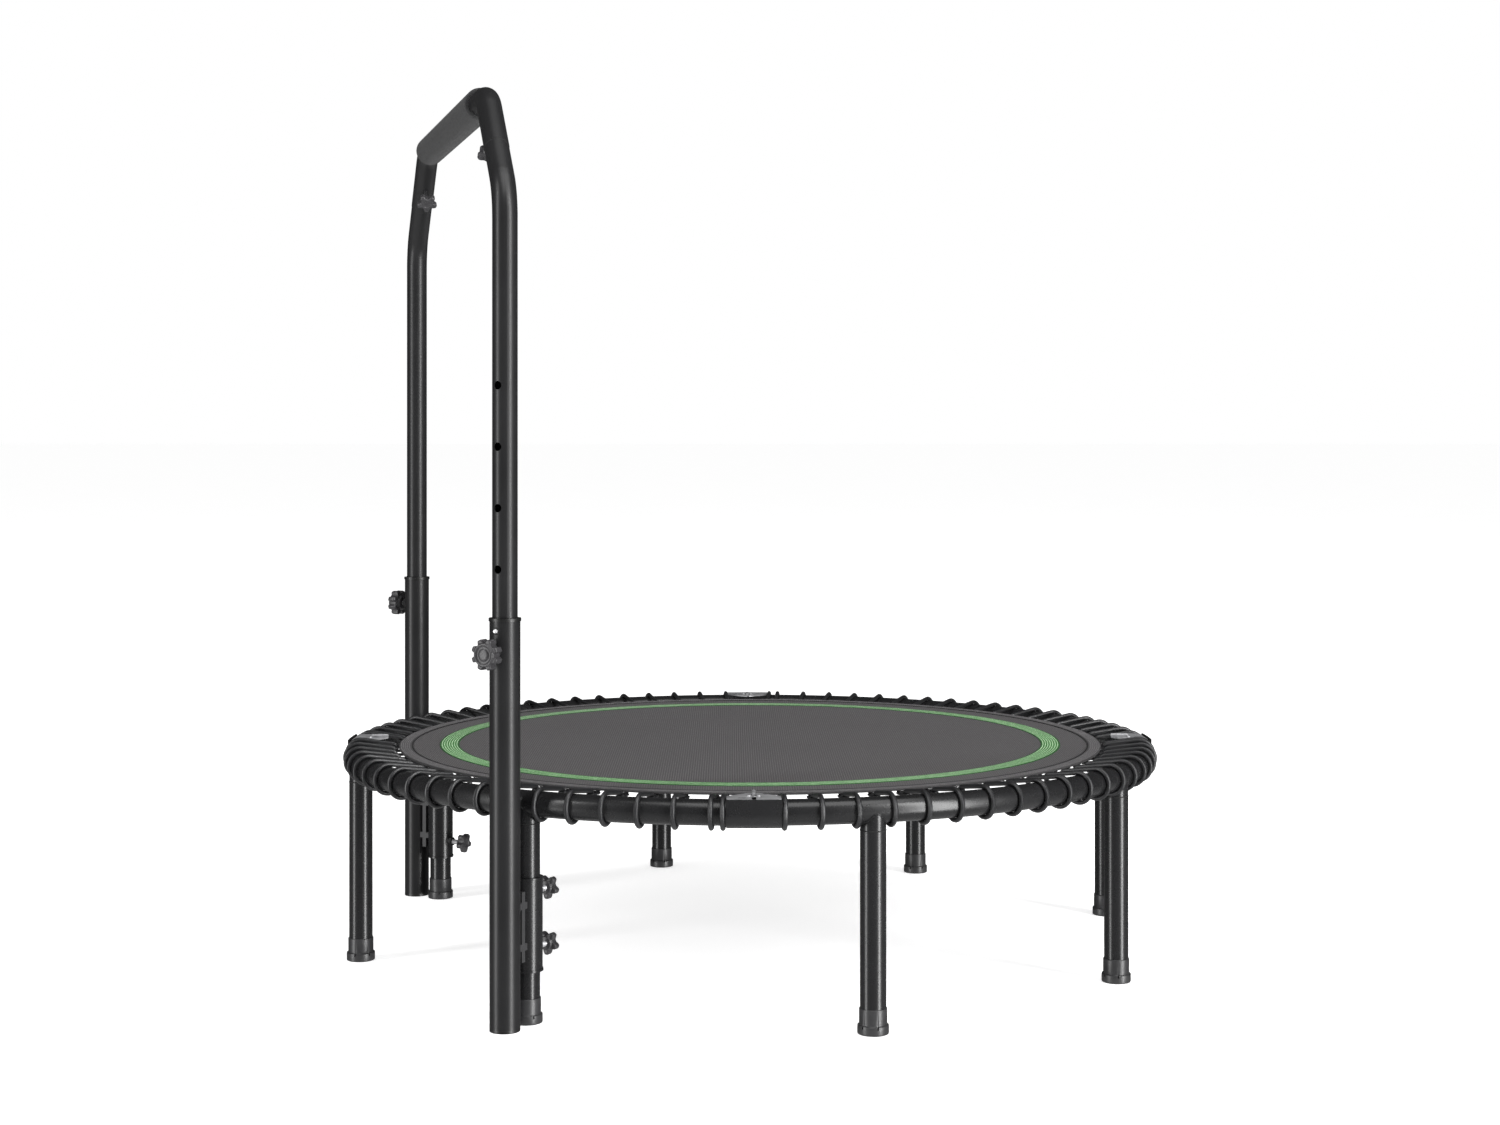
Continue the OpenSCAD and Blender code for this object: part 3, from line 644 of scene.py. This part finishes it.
# a thin black ring along the hem's inner edge, drawn as a dark line where the hem meets the cloth
EDGE_LINE_R = 0.9 * MM
EDGE_LINE_RING_R = HEM_INNER - 0.8 * MM
STITCH_SINK = 0.2 * MM            # the stitches' middles lie this far below the webbing's top

cloth = over_fold(bed_fabric(), "mesh_fabric", "mat_bed_left", "mat_bed_right")

shape = Shape()
flat_ring(shape, quilted(HEM_INNER, BED_R, HEM_BOTTOM, HEM_TOP, HEM_ROWS, edge=0.9 * MM))
hem = over_fold(shape.piece("mat_hem", [hem_cloth]), "hem_webbing", "mat_hem_left", "mat_hem_right")

shape = Shape()
flat_ring(shape, quilted(BAND_INNER, BAND_R, BAND_BOTTOM, BAND_TOP, BAND_ROWS, edge=0.5 * MM))
band = over_fold(shape.piece("green_band", [green_cloth]), "green_webbing",
                 "green_band_left", "green_band_right")

shape = Shape()
turn = circle(THIN_SIDES)
section = np.stack([EDGE_LINE_RING_R + EDGE_LINE_R * np.cos(turn), BED_TOP + EDGE_LINE_R * np.sin(turn)], -1)
flat_ring(shape, section)
edge_line = over_fold(shape.piece("hem_edge_line", [hem_edge_black]), "hem_webbing")

hem_stitches = over_fold(
    stitches("hem_stitches", pale_thread, HEM_ROWS, HEM_TOP - STITCH_SINK,
             pitch=3.6 * MM, length=2.6 * MM, width=0.8 * MM, height=0.35 * MM), "hem_webbing")
band_stitches = over_fold(
    stitches("band_stitches", green_thread, BAND_ROWS, BAND_TOP - STITCH_SINK,
             pitch=2.7 * MM, length=2.6 * MM, width=0.85 * MM, height=0.25 * MM, slant_deg=28),
    "green_webbing")

# ---------------- elastic cords and their rings

LOOP_A = TUBE_R + CORD_R + CORD_GAP
LOOP_B = BAR_R + CORD_R + CORD_GAP
LOOP_SPAN = math.hypot(RING_R - RING_BAR_R, RING_BAR_Z - RING_Z)
LOOP_DIR = math.atan2(RING_BAR_Z - RING_Z, RING_BAR_R - RING_R)
LOOP_LEAN = math.acos((LOOP_A - LOOP_B) / LOOP_SPAN)
CORD_STEP = 2 * MM
CORD_SIDES = 12
TUBE_ARC_POINTS = 40
BAR_ARC_POINTS = 9


def cord_angles(quarter):
    spread = [90 * quarter + CORD_PITCH * k + CORD_SHIFT for k in range(1, CORDS_PER_QUARTER + 1)]
    return spread + [90 * quarter + CORD_LAST]


def loop_outline():
    """One cord's centre line as (radius, height) rows: round the ring tube, round the bar, and back."""
    def arc(r, z, size, start, end, count):
        angles = np.linspace(start, end, count)
        return [(r + size * math.cos(a), z + size * math.sin(a)) for a in angles]

    def run(start, end):
        start, end = np.array(start), np.array(end)
        steps = int(math.dist(start, end) / CORD_STEP)
        return [tuple(start + (end - start) * k / steps) for k in range(1, steps)]

    tube_arc = arc(RING_R, RING_Z, LOOP_A,
                   LOOP_DIR + LOOP_LEAN, LOOP_DIR + 2 * math.pi - LOOP_LEAN, TUBE_ARC_POINTS)
    bar_arc = arc(RING_BAR_R, RING_BAR_Z, LOOP_B,
                  LOOP_DIR - LOOP_LEAN, LOOP_DIR + LOOP_LEAN, BAR_ARC_POINTS)
    out, back = run(tube_arc[-1], bar_arc[0]), run(bar_arc[-1], tube_arc[0])
    return np.array(tube_arc + out + bar_arc + back)


def radial_points(outline, angle):
    """(radius, height) rows as points in the upright plane at an angle."""
    return outline[:, :1] * outward(angle) + outline[:, 1:] * UP


def bungees(quarter, node):
    """A quarter's elastic cords, which stretch between the ring and the bed."""
    outline = loop_outline()
    shape = Shape()
    for angle in cord_angles(quarter):
        tube(shape, radial_points(outline, angle), along(angle), CORD_R, CORD_SIDES)
    piece = shape.piece(node.replace("bungees", "cords"), [cord_braid], sharp_deg=80)
    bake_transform(piece)
    stands_for(piece, "elastic_cord", node)


WIRE_INNER_R = 524 * MM
WIRE_HALF = 4.6 * MM
WIRE_R = 1.6 * MM
WIRE_CORNER = 2.2 * MM
CORNER_POINTS = 5
TAB_HALF = 3.0 * MM
TAB_T = 1.1 * MM
TAB_GAP = 0.15 * MM               # between the wire and the strap
TAB_TOP_GAP = 0.2 * MM            # between the strap and the hem's underside
TAB_DIP = 0.9 * MM                # the strap rises this much towards each of its ends
TAB_FLARE = 0.3 * MM              # the strap opens this much by this height above the wire
TAB_FLARE_RISE = 1.2 * MM
TAB_OUTER = (8 * MM, 4.4 * MM)    # its outer end, and where that meets the rise
TAB_INNER = (7 * MM, 4.0 * MM)
TAB_BEND_POINTS = 9


def rounded_rectangle(x0, x1, half, corner):
    """Corner points of a rounded rectangle, from x0 to x1 and half to each side."""
    made = []
    for cx, cy, start in ((x1, half, 0), (x0, half, 90), (x0, -half, 180), (x1, -half, 270)):
        mx = cx - corner if cx == x1 else cx + corner
        my = cy - corner if cy > 0 else cy + corner
        for a in np.radians(np.linspace(start, start + 90, CORNER_POINTS)):
            made.append((mx + corner * math.cos(a), my + corner * math.sin(a)))
    return np.array(made)


def tab_section():
    """The folded strap that holds a wire ring under the hem, as a closed (radius, height) outline."""
    bend = np.radians(np.linspace(0, -180, TAB_BEND_POINTS))
    inner = WIRE_R + TAB_GAP

    def leg(radius):
        """One face of the strap: from its outer end, round the wire, to its inner end."""
        top = HEM_BOTTOM - TAB_TOP_GAP - (inner + TAB_T - radius)
        arc = [(WIRE_INNER_R + radius * math.cos(a), RING_BAR_Z + radius * math.sin(a)) for a in bend]
        out = [(WIRE_INNER_R + TAB_OUTER[0], top),
               (WIRE_INNER_R + TAB_OUTER[1], top - TAB_DIP),
               (WIRE_INNER_R + radius + TAB_FLARE, RING_BAR_Z + TAB_FLARE_RISE)]
        back = [(WIRE_INNER_R - radius - TAB_FLARE, RING_BAR_Z + TAB_FLARE_RISE),
                (WIRE_INNER_R - TAB_INNER[1], top - TAB_DIP),
                (WIRE_INNER_R - TAB_INNER[0], top)]
        return out + arc + back

    return np.array(leg(inner + TAB_T) + leg(inner)[::-1])


def mat_rings(side, quarters):
    """The wire rings that the cords pull on, each in its folded strap under the hem."""
    shape = Shape()
    outline = rounded_rectangle(WIRE_INNER_R, RING_BAR_R, WIRE_HALF, WIRE_CORNER)
    section = tab_section()
    width = np.array((-TAB_HALF, TAB_HALF))
    weave = np.stack(np.broadcast_arrays(
        np.arange(len(section))[None] * MM, width[:, None] + TAB_HALF, 0.0), -1)
    half = len(section) // 2
    for quarter in quarters:
        for angle in cord_angles(quarter):
            path = outline[:, :1] * outward(angle) + outline[:, 1:] * along(angle) + RING_BAR_Z * UP
            tube(shape, path, UP, WIRE_R, THIN_SIDES)
            block = radial_points(section, angle)[None] + width[:, None, None] * along(angle)
            index = shape.grid(block, weave, wrap=(False, True), slot=1)
            for edge in (index[0], index[-1]):
                other = edge[::-1]
                shape.quads(edge[:half - 1], edge[1:half], other[1:half], other[:half - 1], 1)
    piece = shape.piece(f"mat_rings_{side}_wire", [wire_coat, tab_cloth])
    carried(piece, f"mat_{side}", "ring_steel", f"mat_rings_{side}")


bungees(2, "bungees_back_left")
bungees(3, "bungees_front_left")
bungees(0, "bungees_front_right")
bungees(1, "bungees_back_right")
mat_rings("left", (2, 3))
mat_rings("right", (0, 1))

# ---------------- feet, leg seams and welds

FOOT_PROFILE = [                  # radius, height in millimetres
    (0, 0.6), (15, 0.6), (16.5, 0), (19.7, 0), (20.3, 0.5), (20.5, 1.3), (20.5, 10.7), (20.2, 11.6),
    (19.4, 12), (18.7, 12.1), (18.25, 12.6), (18.25, 31.6), (18.05, 32.6), (17.5, 33), (17.1, 32.8),
    (17.1, 4.3), (0, 4.3),
]
NOTCHES = 6
NOTCH_GAP_DEG = 360 / NOTCHES
NOTCH_HALF_DEG = 2.6
NOTCH_SIDE_DEG = 0.4              # a notch's side wall leans over this much
PLAIN_MARGIN_DEG = 7              # from a notch's middle to the first point beside it
PLAIN_POINTS = 8
NOTCH_FLOOR = 8.0                 # these four are in millimetres
NOTCH_TOP = 13
NOTCH_FLOOR_STEP = 0.05
NOTCH_R = 18.5
NOTCH_ROW = 5                     # the profile row below the notch's floor


def foot_angles():
    """Angles in degrees round a foot, closer together at its notches."""
    made = []
    for k in range(NOTCHES):
        middle = NOTCH_GAP_DEG * k
        made += [middle - NOTCH_HALF_DEG - NOTCH_SIDE_DEG, middle - NOTCH_HALF_DEG,
                 middle + NOTCH_HALF_DEG, middle + NOTCH_HALF_DEG + NOTCH_SIDE_DEG]
        made += list(np.linspace(middle + PLAIN_MARGIN_DEG, middle + NOTCH_GAP_DEG - PLAIN_MARGIN_DEG,
                                 PLAIN_POINTS))
    return np.array(made)


def leg_middle(leg):
    """A leg's middle in plan, and the height of its top."""
    low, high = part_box(leg)
    return (low.x + high.x) / 2, (low.y + high.y) / 2, high.z


def feet(side):
    """Rubber feet: a rim with small slots in its top edge and a collar round the leg."""
    shape = Shape()
    degrees = foot_angles()
    around = np.radians(degrees)
    from_notch = np.abs((degrees + NOTCH_GAP_DEG / 2) % NOTCH_GAP_DEG - NOTCH_GAP_DEG / 2)
    in_notch = from_notch < NOTCH_HALF_DEG + NOTCH_SIDE_DEG / 4
    rim_r = FOOT_PROFILE[NOTCH_ROW][0]
    floor_rows = [(rim_r, NOTCH_FLOOR), (rim_r, NOTCH_FLOOR + NOTCH_FLOOR_STEP)]
    profile = np.array(FOOT_PROFILE[:NOTCH_ROW + 1] + floor_rows + FOOT_PROFILE[NOTCH_ROW + 1:])
    radius = np.repeat(profile[:, :1], len(around), 1)
    above_floor = profile[:, 1] > NOTCH_FLOOR + NOTCH_FLOOR_STEP / 2
    cut = above_floor & (profile[:, 0] > NOTCH_R) & (profile[:, 1] < NOTCH_TOP)
    radius[np.ix_(cut, in_notch)] = NOTCH_R
    for leg in LEGS[side]:
        x, y, _ = leg_middle(leg)
        turned = around + math.atan2(y, x)
        shape.capped_grid(np.stack([
            x + radius * MM * np.cos(turned),
            y + radius * MM * np.sin(turned),
            profile[:, 1:] * MM + 0 * radius,
        ], -1))
    piece = shape.piece(f"rubber_feet_{side}", [rubber], sharp_deg=50)
    carried(piece, f"{side}_frame", "foot_rubber", f"feet_{side}")


SHADE_RING_INSET = 0.5 * MM           # a shade ring's section is centred this far inside the tube's surface
SEAM_RING_T = 1.0 * MM
WELD_R = 1.0 * MM
WELD_RIPPLES = 30
WELD_RIPPLE_DEPTH = 0.1           # as a share of its radius
STUB_R = TUBE_R - 0.2 * MM


def leg_seams(side):
    """A thin dark ring at each leg's joint, painted shade for the gap there, and a weld bead where its stub meets
    the ring.
    """
    shade_rings, beads = Shape(), Shape()
    psi = circle(4 * WELD_RIPPLES)
    across, sideways = STUB_R * np.cos(psi), STUB_R * np.sin(psi)
    height = RING_Z - np.sqrt(TUBE_R**2 - across**2)
    bead_r = WELD_R * (1 + WELD_RIPPLE_DEPTH * np.sin(WELD_RIPPLES * psi))
    for leg in LEGS[side]:
        x, y, top = leg_middle(leg)
        shade_ring(shade_rings, TUBE_R - SHADE_RING_INSET, SEAM_RING_T, top, Matrix.Translation((x, y, 0)))
        angle = math.degrees(math.atan2(x, -y))
        path = ((RING_R + across)[:, None] * outward(angle) + sideways[:, None] * along(angle)
                + height[:, None] * UP)
        inward = -(np.cos(psi)[:, None] * outward(angle) + np.sin(psi)[:, None] * along(angle))
        tube(beads, path, inward, bead_r, THIN_SIDES)
    # painted shade: the dark rings stand for the shade in each leg's joint
    carried(shade_rings.piece(f"leg_seams_{side}", [painted_gap_shade]), f"{side}_frame", "black_plastic")
    carried(beads.piece(f"leg_welds_{side}", [frame_coat], sharp_deg=80), f"{side}_frame", "frame_steel")


for side in LEGS:
    feet(side)
    leg_seams(side)

# ---------------- knobs

BIG_KNOB = {
    "lobes": 8,
    "rings": [  # height from the knob's back, radius between lobes, radius at a lobe; in millimetres
        (0, 10.0, 10.0), (0.5, 10.8, 10.8), (4, 12.6, 12.6), (4.3, 13.8, 15.5), (4.6, 15.2, 19.2),
        (5.2, 15.6, 20.2), (6.2, 15.7, 20.5), (16.2, 15.7, 20.5), (17.4, 15.6, 20.2), (18.1, 15.4, 19.2),
        (18.3, 15.2, 17.0), (18.4, 15.0, 15.6), (19.2, 14.9, 14.9), (19.8, 14.5, 14.5), (20, 13.9, 13.9),
        (20, 13.0, 13.0), (19.7, 12.4, 12.4), (18.8, 11.4, 11.4), (18.3, 10.2, 10.2), (18.3, 8.8, 8.8),
        (18.7, 7.8, 7.8), (19.3, 7.1, 7.1), (19.7, 6.3, 6.3), (19.8, 4.5, 4.5), (19.85, 2.0, 2.0),
    ],
    "sharpness": 1.8,
    "turn_deg": 22.5,
}
STAR_KNOB = {
    "lobes": 5,
    "rings": [
        (0, 8.0, 8.0), (0.4, 8.7, 8.7), (2.8, 9.6, 9.6), (3.0, 9.6, 12.0), (3.3, 9.8, 14.6),
        (4.0, 10.0, 15.7), (5.0, 10.1, 16.0), (10.8, 10.1, 16.0), (12.2, 10.0, 15.6), (13.1, 9.7, 14.4),
        (13.6, 9.2, 12.4), (13.9, 8.4, 10.0), (14, 7.2, 7.6), (14, 6.2, 6.2), (13.7, 5.6, 5.6),
        (13.2, 5.0, 5.0), (13.1, 3.2, 3.2), (13.1, 1.2, 1.2),
    ],
    "sharpness": 1.0,
    "turn_deg": 36,
}
SAMPLES_PER_LOBE = 22
SCREW_INTO_KNOB = 0.2             # as a share of the knob's thickness
THREAD_PITCH = 1.25 * MM
THREAD_DEPTH = 0.45 * MM
ROWS_PER_THREAD = 4
SCREW_SIDES = 20


def joint_of(body):
    return next(joint for joint in frame["joints"] if joint["child"] == body)


def extent(node, origin, axis):
    """Where a CAD node starts and ends along an axis from origin, and how far it reaches from it."""
    n = np.array(axis)
    co = np.array([v.co for v in frame["nodes"][node].data.vertices]) - np.array(origin)
    reach = co @ n
    return reach.min(), reach.max(), np.linalg.norm(co - np.outer(reach, n), axis=1).max()


def knob(node, style, screw_r, screw_look):
    """A lobed knob with its threaded screw, on the joint's own axis."""
    joint = joint_of(node)
    origin, axis = Vector(joint["pos_m"]), Vector(joint["axis"]).normalized()
    start, end, outer = extent(node, origin, axis)
    rings = np.array(style["rings"]) * MM
    back = end - rings[:, 0].max()
    lobes = style["lobes"]
    phi = circle(lobes * SAMPLES_PER_LOBE)
    wave = np.clip(0.5 + 0.5 * style["sharpness"] * np.cos(lobes * phi), 0, 1)
    wave = wave * wave * (3 - 2 * wave)
    radius = (rings[:, 1:2] + (rings[:, 2:] - rings[:, 1:2]) * wave) * (outer / rings[:, 2].max())
    shape = Shape()
    block = turned_block(radius, phi + math.radians(style["turn_deg"]), rings[:, :1])
    shape.capped_grid(moved(block, frame_at(origin + axis * back, axis)))
    length = back - start + rings[-1, 0] * SCREW_INTO_KNOB
    height = np.linspace(0, length, int(length / (THREAD_PITCH / ROWS_PER_THREAD)))[:, None]
    psi = circle(SCREW_SIDES)
    phase = (height / THREAD_PITCH - psi / (2 * math.pi)) % 1.0
    thread_r = screw_r - THREAD_DEPTH * np.abs(2 * phase - 1)
    thread_r[0] = screw_r - 2 * THREAD_DEPTH
    block = turned_block(thread_r, psi, height)
    shape.capped_grid(moved(block, frame_at(origin + axis * start, axis)), slot=1)
    piece = shape.piece(f"{node}_moulded", [knob_plastic, screw_look], sharp_deg=55)
    carried(piece, node, "knob_plastic", node)


KNOBS = {
    "height_knob_front": (BIG_KNOB, 4 * MM, zinc),
    "height_knob_back": (BIG_KNOB, 4 * MM, zinc),
    "clamp_knob_front_upper": (STAR_KNOB, 4 * MM, zinc),
    "clamp_knob_front_lower": (STAR_KNOB, 4 * MM, zinc),
    "clamp_knob_back_upper": (STAR_KNOB, 4 * MM, zinc),
    "clamp_knob_back_lower": (STAR_KNOB, 4 * MM, zinc),
    "bar_knob_front": (STAR_KNOB, 3 * MM, wire_coat),
    "bar_knob_back": (STAR_KNOB, 3 * MM, wire_coat),
}
for node, made_as in KNOBS.items():
    knob(node, *made_as)

# ---------------- foam grip

back_knob, front_knob = (Vector(joint_of(body)["pos_m"]) for body in ("bar_knob_back", "bar_knob_front"))
BAR_MIDDLE = (back_knob + front_knob) / 2
BAR_DIRECTION = (front_knob - back_knob).normalized()
GRIP_GAP = 0.05 * MM
GRIP_CORNER = 2.6 * MM
GRIP_ROWS = 90
GRIP_SIDES = 64
GRIP_UNEVEN = 0.06 * MM
SKIN_TOLERANCE = 0.01 * MM


def grip():
    """The foam sleeve on the top bar, with rounded ends and slightly uneven skin."""
    low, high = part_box("foam_grip")
    origin = BAR_MIDDLE.copy()
    origin.z = (low.z + high.z) / 2
    start, end, _ = extent("foam_grip", origin, BAR_DIRECTION)
    outer = (high.z - low.z) / 2
    inner = TUBE_R + GRIP_GAP
    near = [(outer - GRIP_CORNER + GRIP_CORNER * math.sin(a),
             start + GRIP_CORNER - GRIP_CORNER * math.cos(a))
            for a in np.linspace(0, math.pi / 2, ROUND_EDGE_POINTS)]
    far = [(r, start + end - z) for r, z in near[::-1]]
    skin = [(outer, z) for z in np.linspace(start + 2 * GRIP_CORNER, end - 2 * GRIP_CORNER, GRIP_ROWS)]
    profile = np.array([(inner, start), *near, *skin, *far, (inner, end)])
    turn = circle(GRIP_SIDES)
    r = np.repeat(profile[:, :1], len(turn), 1)
    generator = np.random.default_rng(7)
    uneven = generator.normal(0, GRIP_UNEVEN, r.shape) * (profile[:, :1] > outer - SKIN_TOLERANCE)
    shape = Shape()
    block = turned_block(r - np.abs(uneven), turn, profile[:, 1:])
    shape.grid(moved(block, frame_at(origin, BAR_DIRECTION)), wrap=(True, True))
    piece = shape.piece("foam_grip_sleeve", [grip_foam], sharp_deg=60)
    carried(piece, "handle", "grip_foam", "foam_grip")


grip()

# ---------------- painted shade at the handle's seams and round the snap buttons

HANDLE_TUBE_R = 16.5 * MM
SEAM_S = 388 * MM                 # from the bar's middle to each seam, along the bar
SEAM_LEAN = math.radians(45)
HANDLE_SHADE_RING_R = 1.0 * MM
LOWER_POLE_R = 20 * MM
# painted shade: a dark ring stands for the gap round each snap button
GAP_SHADE_R = 4.0 * MM
GAP_SHADE_THICK = 0.9 * MM


def handle_seams():
    """A thin dark ring where each end of the top bar meets its pole: painted shade for the gap there."""
    shape = Shape()
    for end in (-1, 1):
        centre = BAR_MIDDLE + BAR_DIRECTION * (end * SEAM_S)
        centre.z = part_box("top_bar")[0].z + HANDLE_TUBE_R * math.sin(SEAM_LEAN)
        axis = BAR_DIRECTION * (-end * math.sin(SEAM_LEAN)) + Vector((0, 0, math.cos(SEAM_LEAN)))
        shade_ring(shape, HANDLE_TUBE_R - SHADE_RING_INSET, HANDLE_SHADE_RING_R, 0, frame_at(centre, axis))
    carried(shape.piece("handle_seams", [painted_gap_shade]), "handle", "black_plastic")


def button_gap_shades():
    """A dark ring round each snap button, bent to the pole's surface: painted shade for the gap round the button.
    """
    shape = Shape()
    psi = circle(SMOOTH_SIDES)
    across = GAP_SHADE_R * np.cos(psi)
    depth = np.sqrt(LOWER_POLE_R**2 - across**2)
    for end in ("front", "back"):
        low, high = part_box(f"snap_button_{end}")
        knob_joint = joint_of(f"height_knob_{end}")
        pole = np.array(knob_joint["pos_m"]) * (1, 1, 0)
        out = np.array(knob_joint["axis"])
        side = np.array((-out[1], out[0], 0))
        height = (low.z + high.z) / 2 + GAP_SHADE_R * np.sin(psi)
        path = pole + depth[:, None] * out + across[:, None] * side + height[:, None] * UP
        tube(shape, path, out, GAP_SHADE_THICK, THIN_SIDES)
    carried(shape.piece("button_gap_shades", [painted_gap_shade], sharp_deg=80), "left_frame", "black_plastic")


handle_seams()
button_gap_shades()

# ---------------- CAD nodes that stay

for name, node in frame["nodes"].items():
    if node.hide_render:
        continue
    look = NODE_LOOKS.get(name, SLOT_LOOKS[node_slots[name]])
    if not node.material_slots:
        node.data.materials.append(look)
    for slot in node.material_slots:
        slot.material = look

# ---------------- camera, floor and light

camera_data = bpy.data.cameras.new("camera")
camera_data.sensor_width = 36
camera_data.lens = 54.30
camera_data.shift_y = -0.08195
camera = bpy.data.objects.new("camera", camera_data)
camera.location = (-0.0295, -3.4809, 0.7631)
camera.rotation_euler = (math.radians(90), 0, math.radians(-0.485))
bpy.context.scene.collection.objects.link(camera)
bpy.context.scene.camera = camera

FLOOR_HALF = 400.0
FLOOR_POINTS = 9                  # along each side
FLOOR_Z = -0.5 * MM
FLOOR_GLOW = 0.66

floor_shape = Shape()
edge = np.linspace(-FLOOR_HALF, FLOOR_HALF, FLOOR_POINTS)
x, y = np.meshgrid(edge, edge)
floor_shape.grid(np.stack([x, y, np.full(x.shape, FLOOR_Z)], -1))
floor_look = Look("pale_floor", (0.86, 0.86, 0.86), 0.8,
                  Emission_Color=(1, 1, 1, 1), Emission_Strength=FLOOR_GLOW)
cloud = floor_look.noise(floor_look.place(), 1.5, detail=3.0)
floor_look.use(Base_Color=floor_look.ramp(cloud, (0.85, 0.85, 0.85), (0.88, 0.88, 0.88), USUAL))
floor = floor_shape.piece("floor", [floor_look.material])
floor.visible_glossy = False      # the tubes keep their soft lamp reflections down to the floor
floor.visible_shadow = False


def soft_light(name, azimuth, elevation, distance, width, height, power, rise=0.0):
    """A rectangular lamp that faces the middle of the object, then goes up by rise. Azimuth 0 is in
    front, and the power is in watts."""
    data = bpy.data.lights.new(name, "AREA")
    data.shape = "RECTANGLE"
    data.size, data.size_y = width, height
    data.energy = power
    lamp = bpy.data.objects.new(name, data)
    a, e = math.radians(azimuth), math.radians(elevation)
    target = Vector((0, 0, 0.55))
    back = Vector((math.sin(a) * math.cos(e), -math.cos(a) * math.cos(e), math.sin(e)))
    lamp.location = target + back * distance + Vector((0, 0, rise))
    lamp.rotation_mode = "QUATERNION"
    lamp.rotation_quaternion = (-back).to_track_quat("-Z", "Y")
    bpy.context.scene.collection.objects.link(lamp)


soft_light("soft_right", 50, 0, 6.0, 1.4, 9.0, 790, rise=1.4)
soft_light("soft_left", -62, 0, 6.0, 1.0, 9.0, 360, rise=1.4)
soft_light("soft_top", 20, 66, 3.4, 3.2, 2.4, 85)

CAMERA_SEES = 1.0                 # the world's strength for each kind of ray
LIGHT_FROM_ROOM = 0.42
GLOSS_OF_FLOOR = 0.6
GLOSS_OF_ROOM = 0.05
GLOSS_HEIGHTS = (-0.75, -0.1)     # reflections go from the floor's strength to the room's between these

world = bpy.data.worlds.new("world")
bpy.context.scene.world = world
world.use_nodes = True
world_nodes = world.node_tree.nodes
world_links = world.node_tree.links
background = world_nodes["Background"]
background.inputs["Color"].default_value = (1, 1, 1, 1)
where = world_nodes.new("ShaderNodeTexCoord")
height = world_nodes.new("ShaderNodeSeparateXYZ")
world_links.new(where.outputs["Generated"], height.inputs[0])
gloss = world_nodes.new("ShaderNodeMapRange")
world_links.new(height.outputs["Z"], gloss.inputs["Value"])
gloss_limits = (*GLOSS_HEIGHTS, GLOSS_OF_FLOOR, GLOSS_OF_ROOM)
for key, value in zip(("From Min", "From Max", "To Min", "To Max"), gloss_limits):
    gloss.inputs[key].default_value = value
ray_path = world_nodes.new("ShaderNodeLightPath")
total = None
for ray, strength in (("Is Camera Ray", CAMERA_SEES), ("Is Diffuse Ray", LIGHT_FROM_ROOM),
                      ("Is Glossy Ray", gloss.outputs["Result"])):
    share = world_nodes.new("ShaderNodeMath")
    share.operation = "MULTIPLY_ADD"
    share.inputs[2].default_value = 0
    for socket, value in zip(share.inputs, (ray_path.outputs[ray], strength, total)):
        if isinstance(value, bpy.types.NodeSocket):
            world_links.new(value, socket)
        elif value is not None:
            socket.default_value = value
    total = share.outputs[0]
world_links.new(total, background.inputs["Strength"])
bpy.context.scene.view_settings.view_transform = "Standard"
